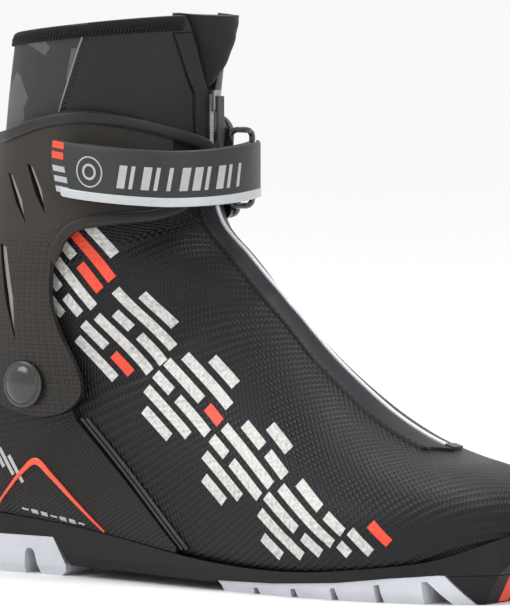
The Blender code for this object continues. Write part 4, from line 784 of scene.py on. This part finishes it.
def side_line(points, inner_side, lift, per_span=8):
    """Points and outward directions of a side-view line laid on the form."""
    seen = line_through(points, per_span)
    s, a = seen_from_side(seen[:, 0], seen[:, 1], inner_side)
    return skin(s, a, lift), normal_at(s, a)


ribs, trims, prints = [], [], []
for inner_side in (False, True):
    for shift, lift in ((1.6, 1.0 * MM), (4.2, 0.7 * MM)):
        path, out = side_line([(82.5 + shift, 68.0), (101.0 + shift, 51.0), (120.0 + shift, 33.5),
                               (139.0 + shift, 16.5)],
                              inner_side, lift)
        ribs.append(rod(path, sections(path, out), out, oval(0.85 * MM, 0.9 * MM, 10)))
    path, out = side_line([(37.0, 31.0), (45.0, 37.5), (53.0, 44.5), (60.8, 49.2), (69.0, 43.5),
                           (82.0, 33.0), (96.0, 22.4)],
                          inner_side, COUNTER_OUT + 0.2 * MM, 6)
    taper = np.interp(np.linspace(0, 1, len(path)), [0, 0.25, 0.5, 1], [0.5, 0.8, 1.6, 0.5])
    profile = oval(1.0 * MM, 0.5 * MM, 10, 3.0)[None] * np.stack([taper, np.ones_like(taper)], -1)[:, None]
    trims.append(rod(path, sections(path, out), out, profile))
    for k in range(7):
        path, out = side_line([(50.0 + 5.2 * k, 29.6 - 0.75 * k), (52.0 + 5.2 * k, 29.3 - 0.75 * k),
                               (53.6 + 5.2 * k, 29.1 - 0.75 * k)], inner_side, COUNTER_OUT + 0.02 * MM, 3)
        prints.append(rod(path, sections(path, out), out,
                          oval(1.1 * MM if k % 3 else 0.5 * MM, 0.12 * MM, 8, 4.0)))
    for k in range(4):
        path, out = side_line([(31.0 + 5.0 * k, 60.0 - 3 * k), (34.5 + 5.0 * k, 54.5 - 3 * k),
                               (38.0 + 5.0 * k, 49.0 - 3 * k)],
                              inner_side, COUNTER_OUT + 0.02 * MM, 5)
        prints.append(rod(path, sections(path, out), out, oval(0.9 * MM, 0.12 * MM, 8, 4.0)))
for name, solids, material, replaced, slot_used in (
        ("side_ribs", ribs, rib_plastic, ("side_rib_outer", "side_rib_inner"), "dark_plastic"),
        ("accent_trims", trims, trim_orange, ("accent_trim_outer", "accent_trim_inner"), "orange_plastic"),
        ("heel_prints", prints, pale_print, (), "counter_plastic")):
    made = piece(name, solids, material, 60)
    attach(made, "foot")
    if replaced:
        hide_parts(*replaced)


# ---- cuff ---------------------------------------------------------------------------------
# The ankle cuff is one stiff moulding with dagger-shaped cuts. It turns on two capped rivets. A
# broad edging of softer rubber is moulded over its upper and front edges.
CUFF = 2.6 * MM
cuff_plastic = finish("cuff_plastic", (0.021, 0.018, 0.0155), 0.4, 0.45, 18.0, waffle, 0.0036, 0.0007,
                      specular=0.24)
edge_rubber = finish("edge_rubber", (0.016, 0.0135, 0.012), 0.42, 0.4, 50.0, grain=0.00007, specular=0.3)
cap_plastic = finish("rivet_cap", (0.018, 0.017, 0.016), 0.18, 0.2, 60.0, coat=0.4, specular=0.4)

CUFF_TOP = [(-12, 181), (22, 183), (44, 187), (64, 194), (80, 197.3), (92, 197), (104, 194.5), (114, 190),
            (120.5, 185)]
CUFF_FRONT = [(121.5, 178), (120.5, 165), (118.5, 157), (112, 151.5), (98, 149.5), (84, 147), (76, 140.5),
              (74, 130)]
CUFF_LEG = [(74.6, 116), (79.5, 102), (86, 88), (87, 78), (79, 71.0), (66, 68.5), (50, 71), (32, 79),
            (14, 90), (-12, 94)]


def cuff_gap(s):
    return np.interp(s, [14, 17.5, 20.4], [3.7 * MM, 3.7 * MM, 1.2 * MM])


def blade(root, tip, width):
    (x0, z0), (x1, z1) = root, tip
    return np.array([(x0 - width / 2, z0), (x0 + width / 2, z0 - 1.5),
                     (x0 + (x1 - x0) * 0.55 + width * 0.62, z0 + (z1 - z0) * 0.55), (x1, z1),
                     (x0 + (x1 - x0) * 0.55 - width * 0.38, z0 + (z1 - z0) * 0.6)])


s, a = np.meshgrid(np.linspace(12.6, 20.5, 110), np.linspace(30, 330, 150), indexing="ij")
cuff = piece("cuff_moulding", [slab(skin(s, a, cuff_gap(s) + CUFF), skin(s, a, cuff_gap(s)))], cuff_plastic)
outline = np.concatenate([line_through(CUFF_TOP + CUFF_FRONT + CUFF_LEG, 6), [(-25, 94), (-25, 181)]])
cut_to(cuff, 'INTERSECT', [side_cutter("cuff_outline", outline)])
BLADES = (((48.5, 171), (59.5, 150), 3.6), ((60.5, 175), (70, 154), 3.6), ((46.5, 141), (55, 100), 4.4))
cut_to(cuff, 'DIFFERENCE', [side_cutter(f"cuff_cut_{k}", blade(*cut)) for k, cut in enumerate(BLADES)])
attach(cuff, "cuff")
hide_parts("cuff_shell")

# a light grey blade lies in each cut, on both sides; its light grey is a painted highlight inside the dark
# cuts
blade_painted_highlight = finish("blade_painted_highlight", (0.20, 0.195, 0.185), 0.35, 0.25, 60.0)
blades = []
for inner_side in (False, True):
    for cut in BLADES:
        left, right, right_middle, tip, left_middle = blade(*cut)
        share = np.linspace(0, 1, 12)
        near = np.stack([np.interp(share, [0, 0.6, 1], [left[k], left_middle[k], tip[k]]) for k in (0, 1)],
                        -1)
        far = np.stack([np.interp(share, [0, 0.55, 1], [right[k], right_middle[k], tip[k]]) for k in (0,
                1)], -1)
        seen = near[:, None] + (far - near)[:, None] * np.linspace(0.5, 1.0, 4)[:, None]
        s, a = (v.reshape(seen.shape[:2]) for v in seen_from_side(seen[..., 0].ravel(),
                seen[..., 1].ravel(), inner_side))
        blades.append(slab(skin(s, a, cuff_gap(s) + 1.5 * MM), skin(s, a, cuff_gap(s) + 0.2 * MM)))
blades = piece("cuff_blades", blades, blade_painted_highlight, 50)
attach(blades, "cuff")

run = line_through(CUFF_TOP[2:] + CUFF_FRONT, 5)[::-1]
pull = np.array([88.0, 170.0]) - run
run = run + 2.7 * pull / np.linalg.norm(pull, axis=1)[:, None]
halves = []
for inner_side in (False, True):
    s, a = seen_from_side(run[:, 0], run[:, 1], inner_side)
    halves.append(np.stack([s, a % 360], -1))
back_a = np.array([138, 150, 164, 180, 196, 210, 222.0])
levels = np.linspace(17, COLLAR_TOP, 80)
back_z = np.interp(np.abs(back_a - 180), [0, 16, 30, 42], [180.6, 181.1, 182.4, 184.2]) * MM
back_s = [np.interp(z, on_last(levels, angle)[:, 2], levels) for angle, z in zip(back_a, back_z)]
ring_line = np.concatenate([halves[0], np.stack([back_s, back_a], -1), halves[1][::-1]])
path = skin(ring_line[:, 0], ring_line[:, 1], cuff_gap(ring_line[:, 0]) + CUFF + 0.25 * MM)
path, out = evenly(path, 1.6 * MM, normal_at(ring_line[:, 0], ring_line[:, 1]))
for _ in range(3):
    path[1:-1] = (path[:-2] + 2 * path[1:-1] + path[2:]) / 4
    out[1:-1] = (out[:-2] + 2 * out[1:-1] + out[2:]) / 4
share = np.arange(len(path)) / (len(path) - 1)
ends = np.clip(np.minimum(share, 1 - share) / 0.012, 0.02, 1) ** 0.5
profile = oval(2.5 * MM, 1.15 * MM, 18, 3.4)[None] * ends[:, None, None]
edging = piece("cuff_edging", [rod(path, sections(path, out), out, profile)], edge_rubber, 60)
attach(edging, "cuff")
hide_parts("cuff_edge_trim")

for name in ("outer", "inner"):
    low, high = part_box("pivot_rivet_" + name)
    sign = -1 if name == "outer" else 1
    face_y = low.y if sign < 0 else high.y
    section = [(0, 0), (2.0, -0.03), (5.0, -0.35), (7.3, -0.95), (8.0, -1.35), (8.25, -1.8), (8.6, -1.75),
               (9.1, -1.6),
               (9.7, -1.9), (10.0, -2.4), (10.0, -3.1), (2.6, -3.2), (2.6, -11.5)]
    t = np.linspace(0, 2 * math.pi, 56, endpoint=False)
    centre_x, centre_z = (low.x + high.x) / 2, (low.z + high.z) / 2
    rings = [np.stack([centre_x + np.cos(t) * max(r, 0.02) * MM, np.full(56, face_y + sign * h * MM),
                       centre_z + np.sin(t) * max(r, 0.02) * MM], -1) for r, h in section]
    verts = np.concatenate(rings)
    faces = [[i * 56 + j, i * 56 + (j + 1) % 56, (i + 1) * 56 + (j + 1) % 56, (i + 1) * 56 + j]
             for i in range(len(section) - 1) for j in range(56)]
    faces += [list(range(56)), list(range(len(verts) - 1, len(verts) - 57, -1))]
    rivet = piece("rivet_cap_" + name, [(verts, faces, verts[:, [0, 2]])], cap_plastic, 50)
    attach(rivet, "foot")
    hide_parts("pivot_rivet_" + name)


# ---- strap --------------------------------------------------------------------------------
# A coated closing strap folds round a ring on the inner side and comes back round the front. Its
# lower edge is reflective tape, and its tip is printed with bars and a plain ring.
STRAP_RUN = [(79, -50.2, 174.2), (92, -51.0, 172.5), (106, -50.4, 171.2), (120, -47.2, 170.2),
             (132, -40.8, 169.6),
             (141, -31.0, 169.9), (146, -18.5, 170.8), (146.6, -5.5, 172.0), (143.4, 5.5, 172.8), (137.8,
                     12.6, 173.2)]
STRAP_WIDTH, STRAP_THICKNESS, STRAP_INK = 23.5 * MM, 1.6 * MM, 0.14 * MM
strap_cloth = finish("strap_laminate", (0.017, 0.0185, 0.02), 0.38, 0.3, 40.0, weave, 0.0009, 0.00003,
                     specular=0.35)
reflective = finish("reflective_tape", (0.42, 0.44, 0.455), 0.34, 0.12, 300.0, dots, 0.0011, 0.00005,
                    metallic=0.3)
grey_print = finish("grey_print", (0.33, 0.335, 0.34), 0.5, 0.15, 200.0)
orange_print = finish("orange_print", (0.66, 0.05, 0.016), 0.45, 0.1, 200.0)

run = line_through(STRAP_RUN, 12)
run = at(run[:, 0], run[:, 1], run[:, 2])
run_length = np.concatenate([[0], np.cumsum(np.linalg.norm(np.diff(run, axis=0), axis=1))])
LONG = run_length[-1]


def strap_at(d, height, out):
    """Point on the strap at a distance from its tip, above its middle line and out of its face."""
    d, height, out = np.broadcast_arrays(d, height, out)
    centre = np.stack([np.interp(d, run_length, run[:, k]) for k in range(3)], -1)
    ahead = np.stack([np.interp(d + 2 * MM, run_length, run[:, k]) - np.interp(d - 2 * MM, run_length,
            run[:, k])
                      for k in range(3)], -1)
    face = np.stack([ahead[..., 1], -ahead[..., 0], 0 * ahead[..., 0]], -1)
    face /= np.linalg.norm(face, axis=-1, keepdims=True)
    return centre + face * out[..., None] + np.stack([0 * d, 0 * d, height], -1)


def strap_edges(d):
    """Lower and upper edges near the strap's rounded tip, from its middle line."""
    low = -STRAP_WIDTH / 2 + 8.8 * MM * np.clip(1 - d / (7 * MM), 0, 1) ** 1.7
    high = STRAP_WIDTH / 2 - 2.6 * MM * np.clip(1 - d / (2.4 * MM), 0, 1) ** 2
    return low, high


def strap_slab(d, low, high, inner, outer, count=14, soft=0.05):
    v = (1 - np.cos(np.linspace(0, math.pi, count))) / 2
    height = low[:, None] + (high - low)[:, None] * v
    round_edge = np.sqrt(np.clip(1 - (1 - np.clip(np.minimum(v, 1 - v) / soft, 0, 1)) ** 2, 0.02, 1))
    middle, half = (inner + outer) / 2, (outer - inner) / 2
    d2 = np.repeat(d[:, None], count, 1)
    return slab(strap_at(d2, height, middle + half * round_edge[None]),
                strap_at(d2, height, middle - half * round_edge[None]))


d = np.concatenate([np.linspace(0, 8 * MM, 22)[:-1], np.linspace(8 * MM, LONG, 90)])
low, high = strap_edges(d)
strap = piece("closing_strap", [strap_slab(d, low, high, 0.0, STRAP_THICKNESS)], strap_cloth, 50)
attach(strap, "strap")
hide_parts("strap")
d = np.concatenate([np.linspace(5.5 * MM, 9 * MM, 24)[:-1], np.linspace(9 * MM, LONG - 1 * MM, 90)])
low, high = strap_edges(d)
band = piece("reflective_band", [strap_slab(d, low + 0.25 * MM, low + 4.0 * MM, STRAP_THICKNESS - 0.2 * MM,
                                            STRAP_THICKNESS + 0.22 * MM)], reflective, 50)
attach(band, "strap")
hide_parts("strap_reflective_tape")


def strap_bar(start, stop, low, high, slant=0.0):
    """Printed bar on the strap's face; slant moves its top towards the ring, in millimetres."""
    d, v = np.meshgrid(np.linspace(start, stop, 8) * MM, np.linspace(0, 1, 3), indexing="ij")
    height = (low + (high - low) * v) * MM
    d = d + slant * MM * v
    return slab(strap_at(d, height, STRAP_THICKNESS + STRAP_INK),
                strap_at(d, height, STRAP_THICKNESS - 0.2 * MM))


orange_bars = [strap_bar(0.9, 7.2, 8.3, 11.1), strap_bar(0.5, 6.9, 3.9, 6.8)]
grey_bars = [strap_bar(1.3 + 0.9 * k, 8.0 + 1.3 * k, -0.2 - 4.2 * k - 1.2, -0.2 - 4.2 * k + 1.2,
                       -0.6) for k in range(3)]
t = np.linspace(0, 2 * math.pi, 41)
for inner_r, outer_r in ((5.9, 6.5), (2.4, 3.4)):
    radius, turn = np.meshgrid([inner_r, outer_r], t, indexing="ij")
    d, height = (20.5 + radius * np.cos(turn)) * MM, (0.6 + radius * np.sin(turn)) * MM
    grey_bars.append(slab(strap_at(d, height, STRAP_THICKNESS + STRAP_INK),
                          strap_at(d, height, STRAP_THICKNESS - 0.2 * MM)))
for k, wide in enumerate((3.4, 1.6, 3.4, 1.6, 1.6, 3.4, 3.4, 1.6, 3.4, 1.6, 1.6)):
    start = 33.5 + 5.2 * k
    grey_bars.append(strap_bar(start, start + wide, -4.9, 4.7, 1.6))
for name, bars, material, slot_used in (("strap_bars_orange", orange_bars, orange_print, "orange_plastic"),
                                        ("strap_bars_grey", grey_bars, grey_print, "reflective_tape")):
    made = piece(name, bars, material, 60)
    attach(made, "strap")

PAD, GAP = 0.9 * MM, 0.3 * MM      # the hook and loop pads lie between the strap's two legs
INWARDS = 2 * (PAD + GAP) + GAP
d = np.linspace(0.12, 0.93, 90) * LONG
low, high = np.full(90, -STRAP_WIDTH / 2), np.full(90, STRAP_WIDTH / 2)
anchor = piece("anchored_strap", [strap_slab(d, low, high, -INWARDS - STRAP_THICKNESS, -INWARDS)],
               strap_cloth, 50)
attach(anchor, "cuff")
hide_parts("strap_anchor")


# ---- sole, slider and what lies inside ----------------------------------------------------
# The outsole and treads are moulded rubber with a steel toe bar in a plastic insert. The slider
# is lacquered zinc. Boards, foam and pads inside keep their plain trade finishes.
FINISHES = {
    "black_rubber": finish("sole_rubber", (0.008, 0.008, 0.0085), 0.42, 0.4, 40.0, grain=0.00008,
                           specular=0.2),
    "pale_tread": finish("tread_rubber", (0.50, 0.51, 0.55), 0.42, 0.18, 80.0, grain=0.00008),
    "orange_plastic": trim_orange,
    "bar_steel": finish("bar_steel", (0.55, 0.55, 0.56), 0.28, 0.2, 300.0, metallic=1.0),
    "black_softshell": softshell,
    "lining": lining_cloth,
    "puff_board": finish("puff_board", (0.45, 0.43, 0.37), 0.6, 0.2, 60.0),
    "board": finish("lasting_board", (0.42, 0.34, 0.23), 0.8, 0.2, 90.0),
    "shank_plastic": finish("shank_plastic", (0.02, 0.02, 0.02), 0.4, 0.2, 60.0),
    "insole_foam": finish("insole_foam", (0.05, 0.05, 0.052), 0.85, 0.3, 120.0, sheen=0.2),
    "black_elastic": elastic,
    "dark_plastic": finish("dark_plastic", (0.03, 0.028, 0.027), 0.35, 0.2, 60.0),
    "bush_plastic": finish("bush_plastic", (0.55, 0.53, 0.46), 0.35, 0.1, 60.0),
    "hook_and_loop": finish("hook_and_loop", (0.012, 0.012, 0.012), 0.95, 0.5, 900.0, grain=0.0003,
                            sheen=0.4),
    "ring_plastic": finish("ring_plastic", (0.01, 0.01, 0.011), 0.12, 0.1, 60.0, coat=0.5),
    "slider_metal": finish("slider_metal", (0.28, 0.28, 0.29), 0.3, 0.2, 200.0, metallic=0.7),
}
slot_of = {part["node"]: part["material_slot"] for part in frame["record"]["subparts"]}
for name, obj in nodes.items():
    if obj.hide_render:
        continue
    obj.data.materials.clear()
    obj.data.materials.append(FINISHES[slot_of[name]])
